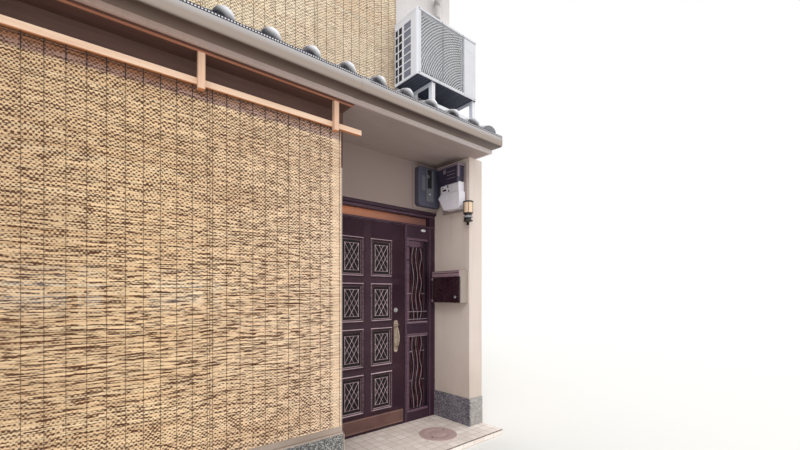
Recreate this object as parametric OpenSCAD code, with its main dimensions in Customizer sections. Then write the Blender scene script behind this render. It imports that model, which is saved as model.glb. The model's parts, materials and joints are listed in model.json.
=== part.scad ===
// Two-storey machiya townhouse that stands in a row, with a reed-screened bay,
// a recessed entrance, a tiled pent roof and a tiled gable roof.
// X runs along the street, Y into the plot, Z up. The origin is on the ground,
// in the middle of the house's box.

/* [House] */
// Frontage, from the outer face of one party wall to the other
house_w = 4800; // [4200:50:6000]
// Depth of the two-storey body, over its front and back walls
body_depth = 7280; // [6000:50:9000]
// How far the ground floor bay stands in front of the two-storey body
bay_depth = 446; // [380:2:600]
// Thickness of a party wall
party_t = 190; // [150:5:240]
// Thickness of a front, back or bay wall
wall_t = 120; // [100:5:150]

/* [Levels] */
// Height of the porch and of the floor inside the door
porch_h = 50; // [30:5:90]
// Underside of the boarded soffit below the pent roof
soffit_z = 2693; // [2600:5:2900]
// Thickness of the upper floor
floor_t = 150; // [100:10:200]
// Top of the upper floor
upper_floor_z = 2900; // [2880:10:3000]
// Height of the body's wall head at its outer face
wall_head_z = 5050; // [4950:10:5400]
// Top of the pebble-dashed base course
base_top_z = 320; // [250:5:400]
// How far the base course stands proud of the wall
base_proud = 10; // [6:1:20]

/* [Entrance] */
// Width of the recess in front of the door
entrance_w = 1440; // [1420:5:1500]
// How far the porch runs out in front of the bay
porch_out = 250; // [150:10:300]
// How far the porch runs past the corner of the bay
porch_side = 200; // [100:10:300]
// Width of the door leaf
leaf_w = 900; // [880:5:920]
// Height of the door leaf
leaf_h = 1984; // [1900:2:2000]
// Thickness of the door leaf
leaf_t = 40; // [36:1:46]
// Gap between the leaf and the jamb it hangs on
hinge_gap = 5; // [5:0.5:6]
// Gap between the leaf and the mullion that it shuts against
lock_gap = 8; // [8:0.5:10]
// Height of the threshold under the leaf
threshold_h = 6; // [4:1:12]
// Gap under and over the leaf
leaf_gap = 5; // [5:0.5:8]
// Width of the jamb on the hinge side
jamb_w = 102; // [80:1:110]
// Width of the frame's post next to the party wall
post_w = 82; // [60:1:100]
// Depth of the door frame from front to back
frame_d = 110; // [90:5:120]
// How far the frame's face stands behind the face of the wall over it
frame_set = 34; // [20:1:50]
// Height of the amber light over the door
transom_h = 103; // [80:1:160]
// Height of the bar under the amber light
transom_bar = 18; // [14:1:24]
// Height of the frame's head
head_h = 60; // [40:1:80]
// How far the drip on the frame's head stands out
drip_out = 22; // [10:1:30]

/* [Door panels] */
// Width of each carved panel
panel_w = 244; // [220:1:250]
// Distance from the leaf's hinge edge to the first panel
panel_first = 160; // [130:1:165]
// Distance from one column of panels to the next
panel_step = 334.6; // [320:0.2:340]
// Height of each carved panel
panel_h = 354; // [330:1:360]
// Height of the lowest panel over the leaf's foot
panel_foot = 182; // [150:1:190]
// Distance from one row of panels to the next
panel_rise = 424; // [410:1:430]
// Width of one step of a panel's moulding
mould_step = 14; // [10:1:18]
// Depth of one step of a panel's moulding
mould_rise = 5; // [3:0.5:6]
// Width of a bar in a panel's carved lattice
carve_w = 9; // [6:0.5:12]
// Height of the carved lattice over the panel's field
carve_h = 5; // [3:0.5:6]

/* [Sidelight] */
// Width of a stile beside the iron grille
side_stile = 28; // [22:1:34]
// Height of the rail across the middle of the sidelight
side_rail_h = 150; // [100:5:180]
// Height of the middle rail over the porch
side_rail_z = 870; // [800:5:950]
// Height of the sidelight's bottom rail
side_foot_h = 120; // [90:5:160]
// Height of the sidelight's top rail
side_top_h = 150; // [120:5:180]
// Width of an iron bar in the grille
iron_w = 7; // [5:0.5:9]
// Thickness of an iron bar in the grille
iron_t = 6; // [4:0.5:8]
// Number of waving pairs of bars
iron_pairs = 3; // [2:1:4]
// Sideways swing of a waving bar
iron_swing = 24; // [14:1:30]
// Length of one wave of a bar
iron_wave = 300; // [200:10:400]

/* [Windows] */
// Distance from the left party wall to the bay's window
bay_window_left = 151; // [100:1:400]
// Distance from the bay's window to its right-hand corner
bay_window_right = 229; // [200:1:400]
// Height of the window in the bay
bay_window_h = 1850; // [1500:10:1900]
// Sill of the window in the bay
bay_sill_z = 420; // [400:10:500]
// Distance from the left party wall to the upper window
upper_window_left = 610; // [300:10:700]
// Distance from the upper window to the right party wall
upper_window_right = 810; // [750:10:950]
// Height of the upper window
upper_window_h = 1300; // [1000:10:1350]
// Sill of the upper window
upper_sill_z = 3350; // [3300:10:3400]
// Distance from a party wall to the nearer back window
back_window_side = 225; // [150:5:400]
// Width of the wall between the two back windows of a storey
back_window_mid = 690; // [400:10:900]
// Height of each window in the back wall
back_window_h = 1100; // [900:10:1200]
// Sill of a back window over its floor
back_sill = 850; // [700:10:900]
// Width of a window frame's members
window_frame_w = 32; // [24:1:40]
// Depth of a window frame from front to back
window_frame_d = 78; // [72:1:90]
// How far a window frame stands behind the wall's face
window_set = 22; // [10:1:30]
// Width of a sliding sash's members
sash_w = 40; // [32:1:50]
// Thickness of a sliding sash
sash_t = 28; // [24:1:32]
// Thickness of window glass
glass_t = 5; // [3:1:8]

/* [Pent roof] */
// How far the pent roof's fascia stands in front of the bay
pent_out = 196; // [150:2:260]
// Rise of the pent roof for each unit of run
pent_pitch = 0.4; // [0.35:0.01:0.45]
// How far each end of the pent roof stops short of the house's side
pent_inset = 90; // [60:5:120]
// Height of the fascia board
fascia_h = 148; // [130:1:170]
// Thickness of a fascia or verge board
fascia_t = 18; // [15:1:24]
// Thickness of the soffit boards
soffit_t = 12; // [9:1:18]
// Height of the flashing on the wall over the pent roof
flashing_h = 70; // [50:1:90]
// Width of the flashing over the tiles
flashing_w = 90; // [70:1:120]
// Thickness of the flashing
flashing_t = 10; // [8:1:14]

/* [Main roof] */
// Rise of the main roof for each unit of run
main_pitch = 0.45; // [0.4:0.01:0.5]
// How far the main roof's rafters run out over a wall
main_eave = 600; // [450:10:620]
// Depth of a rafter
rafter_d = 75; // [60:1:100]
// Width of a rafter
rafter_w = 45; // [40:1:60]
// Number of rafters between the party walls
rafter_n = 11; // [9:1:13]
// Height of the board across the rafters' ends
eave_board_h = 120; // [100:1:140]
// Thickness of the roof boards
board_t = 15; // [12:1:24]
// Half the width of the ridge's foot
ridge_half = 130; // [110:5:160]
// Height of the ridge over the roof boards
ridge_h = 300; // [240:10:360]
// Number of layers in the ridge
ridge_layers = 5; // [3:1:6]
// How far each layer of the ridge steps in
ridge_step = 12; // [6:1:15]
// Diameter of the ridge's cap tile
ridge_cap_d = 150; // [130:5:160]
// Thickness of a ridge-end tile
ridge_end_t = 60; // [40:5:80]
// How far a ridge-end tile's feet spread past the ridge
ridge_foot = 80; // [50:5:100]
// How far a ridge-end tile rises over the ridge
ridge_rise = 50; // [20:5:80]
// Diameter of a ridge-end tile's round head
ridge_head_d = 230; // [180:5:260]

/* [Tiles] */
// Distance from one row of tile rolls to the next
tile_pitch = 265; // [240:1:300]
// Height of a tile roll over the boards
roll_h = 83; // [70:1:90]
// Width of a tile roll
roll_w = 110; // [90:1:120]
// Thickness of a tile
tile_t = 18; // [14:1:22]
// Diameter of the round cap on a roll at the eaves
cap_d = 120; // [100:1:124]
// Thickness of a round cap
cap_t = 22; // [15:1:30]
// How far the tiles run out over the fascia
tile_out = 28; // [20:1:40]
// How far the tiles run out past the roof boards
tile_nose = 20; // [18:1:26]
// Width of the verge tiles at the pent roof's left end
pent_verge = 201; // [150:1:240]

/* [Gutters] */
// Depth of a gutter from front to back
gutter_d = 118; // [90:1:125]
// Height of a gutter
gutter_h = 83; // [70:1:110]
// Height of the upright band at the top of a gutter's face
gutter_band = 42; // [30:1:50]
// How far a gutter's face slopes in at its foot
gutter_tuck = 26; // [10:1:34]
// Thickness of gutter and downpipe walls
gutter_t = 3; // [2:0.5:5]
// Height of the pent roof's gutter over the soffit
gutter_lift = 34; // [20:1:40]
// Width of a downpipe's straps
strap_w = 24; // [16:1:30]
// Distance from a downpipe's end, and from its bend, to a strap
strap_in = 320; // [300:10:400]
// Drop of the main roof's gutters from its boards to their feet
main_gutter_drop = 130; // [125:1:140]
// Outside diameter of a downpipe
pipe_d = 60; // [50:1:76]
// Distance of a downpipe's middle from the wall
pipe_off = 50; // [45:1:70]
// How far a downpipe's socket stands out round the pipe
socket_t = 4; // [3:0.5:6]
// Height of a downpipe's open end over what it drains on
pipe_end = 60; // [40:5:100]
// Drop of a downpipe from a gutter to its first bend
pipe_drop = 70; // [60:5:100]
// Fall of a downpipe across to the wall, for each unit of run
pipe_fall = 0.4; // [0.35:0.05:0.8]

/* [Reed screens] */
// Thickness of the boards over the bay window
head_board_t = 12; // [8:1:20]
// Distance from the bay window's head to the boards over it
head_board_lift = 20; // [5:1:60]
// Distance from the left party wall to the lower screens
lower_screen_left = 329; // [200:1:600]
// Distance from the lower screens to the bay's right-hand corner
lower_screen_right = 72; // [60:1:200]
// Distance from the left party wall to the upper screens
upper_screen_left = 464; // [200:2:600]
// Distance from the upper screens to the right party wall
upper_screen_right = 686; // [600:2:800]
// Gap between neighbouring screens
screen_gap = 10; // [5:1:20]
// Thickness of a reed screen
screen_t = 6; // [4:0.5:8]
// Number of screens on the ground floor
lower_screens = 3; // [2:1:3]
// Number of screens on the upper floor
upper_screens = 4; // [2:1:4]
// Bottom of the lower screens
lower_screen_z = 410; // [350:5:450]
// Length of the cords that a screen hangs on
hang = 30; // [20:1:60]
// Distance from one hanging cord to the next
cord_step = 74; // [60:1:90]
// Thickness of a hanging cord
cord_t = 3; // [2:0.5:5]
// How far the lower screens hang in front of the bay
screen_out = 104; // [90:1:130]
// How far the upper screens hang in front of the upper wall
upper_screen_out = 150; // [120:1:160]
// Height of the upper screens' rail over the head of the upper window
upper_rail_lift = 10; // [5:1:40]
// Gap between the tiles and the upper screens
upper_screen_gap = 20; // [10:1:40]
// Number of hanging struts
strut_n = 4; // [3:1:5]
// Distance from the left party wall to the first hanging strut
strut_left = 299; // [200:1:400]
// Distance from the last hanging strut to the bay's right-hand corner
strut_right = 134; // [100:1:200]
// How far the lower rail runs on past its first strut
rail_tail = 60; // [40:5:100]
// How far the lower rail runs on past the bay's corner
rail_nose = 94; // [20:1:110]
// Height of the batten under the soffit
batten_h = 12; // [8:1:30]
// Number of brackets that hold the upper rail
bracket_n = 4; // [3:1:6]
// Width of a hanging strut
strut_w = 36; // [30:1:45]
// Depth of a hanging strut
strut_d = 36; // [30:1:45]
// Height of the lower hanging rail
rail_h = 38; // [30:1:45]
// Thickness of the lower hanging rail
rail_t = 30; // [24:1:36]
// Top of the lower hanging rail, under the soffit
rail_drop = 141; // [120:1:200]
// How far a strut reaches below the rail's top
strut_tail = 70; // [45:1:80]

/* [Outdoor unit] */
// Width of the outdoor unit
unit_w = 781; // [700:1:800]
// Height of the outdoor unit
unit_h = 570; // [500:1:600]
// Depth of the outdoor unit
unit_d = 310; // [260:1:320]
// Distance from the unit's right side to the house's right side
unit_side = 134; // [100:1:200]
// Distance from the unit's back to the upper wall
unit_back = 180; // [170:1:190]
// Height of the unit's foot
unit_z = 3240; // [3220:1:3300]
// Width of the stand's steel sections
steel_w = 40; // [30:1:45]
// Thickness of the stand's steel
steel_t = 4; // [3:0.5:6]
// How far a foot rail runs on past a leg
foot_tail = 45; // [20:1:60]
// Distance from the unit's left side to its grille
grille_side = 43; // [20:1:60]
// Width of the unit's grille
grille_w = 552; // [500:1:580]
// Distance from the unit's foot to its grille, and from the grille to its top
grille_edge = 22; // [16:1:40]
// Depth of the recess behind the unit's grille
grille_depth = 40; // [30:1:60]
// Distance from one bar of the unit's grille to the next
grille_step = 12; // [10:0.5:16]
// Thickness of a bar of the unit's grille
grille_bar = 4; // [3:0.5:6]
// Radius of the unit's upright corners
unit_round = 25; // [15:1:35]
// Width of one slot in the unit's left side
slot_w = 95; // [70:1:100]
// Height of one slot in the unit's left side
slot_h = 60; // [24:1:62]
// Distance from one slot in the unit's side to the next
slot_step = 70; // [64:1:74]
// Distance from the unit's left side to the stand's left legs
leg_side = 190; // [150:1:220]
// Distance between the stand's left and right legs
leg_step = 551; // [480:1:551]

/* [Fittings] */
// Width of the letter box along the wall
mail_w = 372; // [300:1:380]
// Height of the letter box
mail_h = 319; // [260:1:340]
// Depth of the letter box's case
mail_d = 106; // [90:1:115]
// Bottom of the letter box
mail_z = 1263; // [1150:1:1350]
// Distance of the letter box behind the wall's street end
mail_set = 22; // [15:1:40]
// Height of the letter box's flap band
mail_band = 62; // [50:1:80]
// Depth and height of the lip on the letter box's flap
mail_lip = 6; // [4:1:8]
// Diameter of the letter box's knob
mail_knob_d = 26; // [20:1:30]
// Thickness of the letter box's sheet
mail_t = 3; // [2:0.5:4]
// Thickness of the letter box's door
mail_door_t = 12; // [8:1:16]
// Diameter of the letter box's hinge knuckles
mail_knuckle_d = 10; // [8:0.5:12]
// Diameter of the letter box's hinge pin
mail_pin_d = 4; // [3:0.5:5]
// Width of the breaker box over the door
breaker_w = 300; // [260:1:310]
// Gap between the breaker box's board and the porch ceiling
breaker_gap = 34; // [20:1:80]
// Depth of the breaker box
breaker_d = 88; // [80:1:90]
// Distance from the breaker box to the party wall
breaker_side = 34; // [20:1:60]
// Gap between the door frame and the breaker box
breaker_lift = 30; // [20:1:40]
// Margin of the board behind the breaker box
breaker_board = 16; // [8:1:18]
// Width of the electric meter's board along the wall
meter_w = 316; // [250:1:318]
// Height of the electric meter's board
meter_h = 470; // [400:1:480]
// How far the electric meter stands out of the wall
meter_d = 110; // [90:1:120]
// Bottom of the electric meter's board
meter_z = 2175; // [2150:1:2200]
// Distance of the electric meter behind the wall's street end
meter_set = 34; // [25:1:36]
// Thickness of the boards behind the meter and the breaker box
board_back_t = 14; // [10:1:18]
// Diameter of the wall lamp's glass
lamp_d = 84; // [70:1:88]
// Height of the wall lamp's glass
lamp_glass_h = 104; // [80:1:120]
// Height of the wall lamp's body under its glass
lamp_body_h = 86; // [60:1:100]
// Bottom of the wall lamp
lamp_z = 2050; // [1950:5:2060]
// Distance of the wall lamp's middle from the party wall's inner face
lamp_off = 46; // [45:1:60]
// How far the wall lamp's middle stands in front of the wall's street end
lamp_out = 24; // [10:1:30]
// Diameter of the drain cover in the porch
drain_d = 350; // [300:10:380]
// Height of the drain cover over the porch
drain_h = 4; // [3:0.5:5]
// Distance of the drain cover's middle from the party wall
drain_side = 384; // [300:2:420]
// Distance of the drain cover's middle behind the bay's front
drain_back = 50; // [0:5:100]
// Width of the door's latch plate
latch_w = 50; // [40:1:60]
// Height of the door's latch plate
latch_h = 316; // [260:1:330]
// Height of the latch plate's foot over the porch
latch_z = 727; // [700:1:800]
// Distance from the leaf's hinge edge to the latch and the lock
latch_x = 790; // [780:1:810]
// Height of the round lock over the porch
lock_z = 1142; // [1100:1:1200]
// Diameter of the round lock
lock_d = 48; // [40:1:56]
// Diameter of a hinge's knuckles
knuckle_d = 18; // [14:1:20]
// Height of one hinge knuckle
knuckle_h = 34; // [28:1:40]
// Diameter of a hinge pin
pin_d = 8; // [6:0.5:9]
// Width of a hinge's plates on the jamb and the leaf
hinge_plate_w = 38; // [30:1:45]
// Thickness of a hinge's plates
hinge_plate_t = 2; // [1.5:0.5:3]

/* [Hidden] */

// Smooth round parts
$fn = 32;
// Overlap that makes pieces of one solid fuse, and cutters run clear
e = 1;
// Gap left between a piece and what it rests on
seat = 0.3;
// Gap kept round a piece that moves
clear = 5;

// Y of the body's front wall, its back wall and the ridge
body_y = bay_depth;
back_y = body_y + body_depth;
ridge_y = body_y + body_depth / 2;
// Inner faces of the party walls
in_x0 = party_t;
in_x1 = house_w - party_t;
// Corner of the bay beside the entrance
bay_x1 = in_x1 - entrance_w;

// Pent roof: ends, angle, and the deck's thickness measured upright
pent_x0 = pent_inset;
pent_x1 = house_w - pent_inset;
pent_ang = atan(pent_pitch);
pent_board_v = board_t / cos(pent_ang);
// Main roof: angle, upright depth of rafters and boards, and the eaves
main_ang = atan(main_pitch);
rafter_v = rafter_d / cos(main_ang);
board_v = board_t / cos(main_ang);
eave_y = body_y - main_eave;
back_eave_y = back_y + main_eave;

// Middle of the house's box from front to back
box_y0 = -pent_out - gutter_d;
box_y1 = back_eave_y + fascia_t + gutter_d;
mid_y = (box_y0 + box_y1) / 2;

// Door: opening, faces and hinge axis
leaf_x0 = bay_x1 + jamb_w + hinge_gap;
mullion_x = leaf_x0 + leaf_w + lock_gap;
post_x = in_x1 - post_w;
frame_y = body_y + frame_set;
leaf_z0 = porch_h + threshold_h + leaf_gap;
leaf_top_z = leaf_z0 + leaf_h;
transom_z = leaf_top_z + leaf_gap;
frame_top_z = transom_z + transom_h + head_h;
breaker_h = soffit_z - breaker_gap - breaker_board - breaker_lift - frame_top_z;
hinge_x = leaf_x0 - hinge_gap / 2;
hinge_y = frame_y - knuckle_d / 2;
hinge_zs = [leaf_z0 + leaf_h * 0.09, leaf_z0 + leaf_h / 2, leaf_top_z - leaf_h * 0.09];
knuckle_gap = 0.5;

// Windows: left ends and widths, from the walls beside them
bay_window_x0 = in_x0 + bay_window_left;
bay_window_w = bay_x1 - bay_window_right - bay_window_x0;
upper_window_x0 = in_x0 + upper_window_left;
upper_window_w = in_x1 - upper_window_right - upper_window_x0;
back_window_w = (in_x1 - in_x0 - 2 * back_window_side - back_window_mid) / 2;
back_window_xs = [in_x0 + back_window_side, in_x1 - back_window_side - back_window_w];

// Letter box
mail_x = in_x1 - mail_d;
mail_y0 = mail_set;
mail_y1 = mail_set + mail_w;
mail_door_h = mail_h - mail_band - 2 * clear;
mail_hinge_x = mail_x - clear - mail_door_t;
mail_hinge_y = mail_y1;

// Height of the roofs' undersides over any Y
function pent_under(y) = soffit_z + fascia_h + pent_pitch * (y + pent_out);
function pent_top(y) = pent_under(y) + pent_board_v;
function rafter_under(y) = wall_head_z + main_pitch * (min(y, 2 * ridge_y - y) - body_y);
function deck_under(y) = rafter_under(y) + rafter_v;
function deck_top(y) = deck_under(y) + board_v;

// The house in its own frame, from one that has its origin at the front left corner
module placed() {
    translate([-house_w / 2, -mid_y, 0]) children();
}

// A block between two X values, two Y values and two Z values
module block(x, y, z) {
    translate([x[0], y[0], z[0]]) cube([x[1] - x[0], y[1] - y[0], z[1] - z[0]]);
}

// A profile drawn in Y and Z, run along X
module along_x(x0, x1) {
    translate([x0, 0, 0]) rotate([90, 0, 90]) linear_extrude(height = x1 - x0) children();
}

// A profile drawn in X and Z, run along Y
module along_y(y0, y1) {
    translate([0, y1, 0]) rotate([90, 0, 0]) linear_extrude(height = y1 - y0) children();
}

// A thing and its mirror image on the other side of the ridge
module mirrored_back() {
    translate([0, 2 * ridge_y, 0]) mirror([0, 1, 0]) children();
}

// A run of round pipe through points, with a socket at each bend
module pipe_run(points) {
    for (i = [0:len(points) - 2]) {
        d = points[i + 1] - points[i];
        translate(points[i]) rotate([0, acos(d[2] / norm(d)), atan2(d[1], d[0])])
            cylinder(d = pipe_d, h = norm(d));
    }
    for (i = [1:len(points) - 2])
        translate(points[i]) sphere(d = pipe_d + 2 * socket_t);
}

module ground_floor() {
    color([0.62, 0.60, 0.57]) placed() {
        block([in_x0, in_x1], [body_y + wall_t, back_y - wall_t], [0, porch_h]);
        block([in_x0, bay_x1 - wall_t], [wall_t, body_y + wall_t], [0, porch_h]);
    }
}

module porch_step() {
    color([0.80, 0.76, 0.73]) placed() {
        block([bay_x1 - porch_side, house_w], [-porch_out, -base_proud], [0, porch_h]);
        block([in_x1 - e, house_w], [-base_proud - e, 0], [0, porch_h]);
        block([bay_x1 - porch_side, bay_x1 + e], [-base_proud - e, 0], [0, porch_h]);
        block([bay_x1, in_x1], [-base_proud - e, body_y + wall_t], [0, porch_h]);
    }
}

// Party wall seen from the side: a wing beside the bay, and a gable end behind it
module party_profile() {
    polygon([
        [0, 0],
        [back_y, 0],
        [back_y, deck_under(back_y)],
        [ridge_y, deck_under(ridge_y)],
        [body_y, deck_under(body_y)],
        [body_y, soffit_z],
        [0, soffit_z]
    ]);
}

module party_wall_left() {
    color([0.86, 0.82, 0.76]) placed() along_x(0, in_x0) party_profile();
}

module party_wall_right() {
    color([0.86, 0.82, 0.76]) placed() along_x(in_x1, house_w) party_profile();
}

// Pebble-dashed course round the foot of the bay and of the right-hand wing
module base_course() {
    color([0.45, 0.47, 0.47]) placed() {
        block([0, bay_x1 - porch_side], [-base_proud, 0], [0, base_top_z]);
        block([bay_x1 - porch_side - e, bay_x1 + base_proud], [-base_proud, 0], [porch_h, base_top_z]);
        block([bay_x1, bay_x1 + base_proud], [-base_proud, frame_y], [porch_h, base_top_z]);
        block([in_x1 - base_proud, house_w], [-base_proud, 0], [porch_h, base_top_z]);
        block([in_x1 - base_proud, in_x1], [-base_proud, frame_y], [porch_h, base_top_z]);
    }
}

module front_bay_wall() {
    color([0.80, 0.75, 0.68]) placed() difference() {
        block([in_x0, bay_x1], [0, wall_t], [0, soffit_z]);
        block([bay_window_x0, bay_window_x0 + bay_window_w], [-e, wall_t + e],
            [bay_sill_z, bay_sill_z + bay_window_h]);
    }
}

module bay_head_board() {
    color([0.36, 0.26, 0.22]) placed()
        block([in_x0, bay_x1], [-head_board_t - seat, -seat],
            [bay_sill_z + bay_window_h + head_board_lift, soffit_z - seat]);
}

module entrance_side_wall() {
    color([0.70, 0.66, 0.60]) placed()
        block([bay_x1 - wall_t, bay_x1], [wall_t, body_y + wall_t], [0, soffit_z]);
}

module door_head_wall() {
    color([0.66, 0.62, 0.56]) placed()
        block([bay_x1, in_x1], [body_y, body_y + wall_t], [frame_top_z, soffit_z]);
}

// Wall under the main roof, with its head cut to the rafters' slope
module eaves_wall(z0) {
    along_x(in_x0, in_x1) polygon([
        [body_y, z0],
        [body_y + wall_t, z0],
        [body_y + wall_t, rafter_under(body_y + wall_t)],
        [body_y, rafter_under(body_y)]
    ]);
}

module upper_front_wall() {
    color([0.92, 0.89, 0.87]) placed() difference() {
        eaves_wall(soffit_z);
        block([upper_window_x0, upper_window_x0 + upper_window_w], [body_y - e, body_y + wall_t + e],
            [upper_sill_z, upper_sill_z + upper_window_h]);
    }
}

module back_window_holes(floor_z) {
    for (x = back_window_xs)
        block([x, x + back_window_w], [back_y - wall_t - e, back_y + e],
            [floor_z + back_sill, floor_z + back_sill + back_window_h]);
}

module back_wall_lower() {
    color([0.86, 0.82, 0.76]) placed() difference() {
        block([in_x0, in_x1], [back_y - wall_t, back_y], [0, upper_floor_z - floor_t]);
        back_window_holes(porch_h);
    }
}

module back_wall_upper() {
    color([0.86, 0.82, 0.76]) placed() difference() {
        mirrored_back() eaves_wall(upper_floor_z - floor_t);
        back_window_holes(upper_floor_z);
    }
}

module upper_floor() {
    color([0.55, 0.42, 0.30]) placed()
        block([in_x0, in_x1], [body_y + wall_t, back_y - wall_t], [upper_floor_z - floor_t, upper_floor_z]);
}

module pent_soffit() {
    color([0.43, 0.38, 0.35]) placed()
        block([pent_x0 + fascia_t, pent_x1 - fascia_t], [fascia_t - pent_out, body_y],
            [soffit_z, soffit_z + soffit_t]);
}

// Fascia along the front and a verge board at each end
module pent_fascia() {
    y1 = fascia_t - pent_out;
    color([0.69, 0.65, 0.63]) placed() {
        along_x(pent_x0, pent_x1)
            polygon([
                [-pent_out, soffit_z],
                [y1, soffit_z],
                [y1, pent_under(y1)],
                [-pent_out, pent_under(-pent_out)]
            ]);
        for (x = [pent_x0, pent_x1 - fascia_t])
            along_x(x, x + fascia_t) polygon([
                [y1 - e, soffit_z],
                [body_y, soffit_z],
                [body_y, pent_under(body_y)],
                [y1 - e, pent_under(y1 - e)]
            ]);
    }
}

module pent_deck() {
    y0 = tile_nose - pent_out - tile_out;
    color([0.50, 0.42, 0.34]) placed() along_x(pent_x0, pent_x1) polygon([
        [y0, pent_under(y0)],
        [body_y, pent_under(body_y)],
        [body_y, pent_top(body_y)],
        [y0, pent_top(y0)]
    ]);
}

// Half the width of the flat along the top of a roll, as a share of the roll's width
roll_flat = 0.07;
// Height of a tile's top over the boards, s being the share of a roll's width from its middle
function tile_rise(s) = abs(s) < roll_flat ? roll_h
    : tile_t + (roll_h - tile_t) * (0.5 + 0.5 * cos(360 * abs(s)));

// Section across a tiled slope, with a hollow roll in the middle of each pitch
module tile_section(count) {
    steps = [-0.5, -0.39, -0.28, -0.17, -0.06, 0.06, 0.17, 0.28, 0.39, 0.5];
    top = [for (i = [0:count - 1], k = steps)
        [(i + 0.5) * tile_pitch + k * roll_w, tile_rise(k)]];
    hollow = [for (i = [count - 1:-1:0], k = -steps)
        [(i + 0.5) * tile_pitch + k * roll_w, tile_rise(k) - tile_t]];
    w = count * tile_pitch;
    polygon(concat([[0, 0], [0, tile_t]], top, [[w, tile_t], [w, 0]], hollow));
}

// A tiled slope from its eaves up, laid on boards whose top passes through y0 and z0
module tiled_slope(x0, x1, y0, z0, ang, run, left) {
    count = floor((x1 - x0 - left - roll_w) / tile_pitch);
    right = x1 - x0 - left - count * tile_pitch;
    length = run / cos(ang);
    translate([x0, y0, z0]) rotate([ang, 0, 0]) {
        translate([left, 0, 0]) along_y(0, length) tile_section(count);
        // Verge tiles
        for (s = [[0, left], [x1 - x0 - right, right]])
            translate([s[0], 0, 0]) along_y(0, length) polygon([
                [0, 0],
                [s[1], 0],
                [s[1], tile_t],
                [s[1] * 0.8, roll_h * 0.75],
                [s[1] * 0.5, roll_h * 0.9],
                [s[1] * 0.2, roll_h * 0.75],
                [0, tile_t]
            ]);
        // Round caps on the rolls
        for (i = [0:count - 1])
            translate([left + (i + 0.5) * tile_pitch, e, roll_h - cap_d / 2])
                rotate([90, 0, 0]) cylinder(d = cap_d, h = cap_t + e);
    }
}

module pent_tiles() {
    y0 = -pent_out - tile_out;
    color([0.55, 0.58, 0.61]) placed()
        tiled_slope(pent_x0, pent_x1, y0, pent_top(y0), pent_ang, body_y - y0, pent_verge);
}

module pent_flashing() {
    z = pent_top(body_y) + roll_h / cos(pent_ang) + seat;
    y1 = body_y - flashing_t;
    y0 = body_y - flashing_w;
    color([0.42, 0.43, 0.44]) placed() along_x(pent_x0, pent_x1) polygon([
        [body_y, z],
        [body_y, z + flashing_h],
        [y1, z + flashing_h],
        [y1, z + flashing_t],
        [y0, z + flashing_t - flashing_w * pent_pitch],
        [y0, z - flashing_w * pent_pitch]
    ]);
}

// Section of a gutter, its back at y = 0 and its foot at z = 0
module gutter_section() {
    difference() {
        polygon([
            [0, 0],
            [0, gutter_h],
            [-gutter_d, gutter_h],
            [-gutter_d, gutter_h - gutter_band],
            [-gutter_d + gutter_tuck, 0]
        ]);
        polygon([
            [-gutter_t, gutter_t],
            [-gutter_t, gutter_h + e],
            [-gutter_d + gutter_t, gutter_h + e],
            [-gutter_d + gutter_t, gutter_h - gutter_band],
            [-gutter_d + gutter_tuck + gutter_t, gutter_t]
        ]);
    }
}

module gutter_end() {
    polygon([
        [0, 0],
        [0, gutter_h],
        [-gutter_d, gutter_h],
        [-gutter_d, gutter_h - gutter_band],
        [-gutter_d + gutter_tuck, 0]
    ]);
}

module gutter(x0, x1, y, z) {
    translate([0, y, z]) {
        along_x(x0, x1) gutter_section();
        along_x(x0, x0 + gutter_t) gutter_end();
        along_x(x1 - gutter_t, x1) gutter_end();
    }
}

module pent_gutter() {
    color([0.73, 0.71, 0.66]) placed() gutter(pent_x0, pent_x1, -pent_out, soffit_z + gutter_lift);
}

// One rafter of the front slope, with plumb ends
module rafter_profile() {
    y1 = ridge_y - seat;
    polygon([
        [eave_y + seat, rafter_under(eave_y + seat)],
        [y1, rafter_under(y1)],
        [y1, deck_under(y1) - seat],
        [eave_y + seat, deck_under(eave_y + seat) - seat]
    ]);
}

module eave_board() {
    z1 = deck_under(eave_y);
    block([0, house_w], [eave_y - fascia_t, eave_y], [z1 - eave_board_h, z1 - fascia_t * main_pitch]);
}

module main_rafters() {
    step = (in_x1 - in_x0 - rafter_w) / (rafter_n - 1);
    color([0.45, 0.33, 0.24]) placed() {
        for (i = [0:rafter_n - 1])
            along_x(in_x0 + i * step, in_x0 + i * step + rafter_w) {
                rafter_profile();
                translate([2 * ridge_y, 0]) mirror([1, 0]) rafter_profile();
            }
        eave_board();
        mirrored_back() eave_board();
    }
}

module main_deck() {
    y0 = eave_y - fascia_t - tile_out + tile_nose;
    color([0.50, 0.42, 0.34]) placed() along_x(0, house_w) polygon([
        [y0, deck_under(y0)],
        [ridge_y, deck_under(ridge_y)],
        [2 * ridge_y - y0, deck_under(y0)],
        [2 * ridge_y - y0, deck_top(y0)],
        [ridge_y, deck_top(ridge_y)],
        [y0, deck_top(y0)]
    ]);
}

module main_slope() {
    y0 = eave_y - fascia_t - tile_out;
    count = floor((house_w - roll_w) / tile_pitch);
    tiled_slope(0, house_w, y0, deck_top(y0), main_ang, ridge_y - ridge_half - y0,
        (house_w - count * tile_pitch) / 2);
}

module main_tiles_front() {
    color([0.50, 0.53, 0.56]) placed() main_slope();
}

module main_tiles_back() {
    color([0.50, 0.53, 0.56]) placed() mirrored_back() main_slope();
}

// One side of the stacked ridge's outline, each layer stepping in over the last
function ridge_side(side, z0, z1) = [for (i = [0:ridge_layers - 1], k = [0, 1])
    [ridge_y + side * (ridge_half - i * ridge_step), z0 + (z1 - z0) * (i + k) / ridge_layers]];

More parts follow.
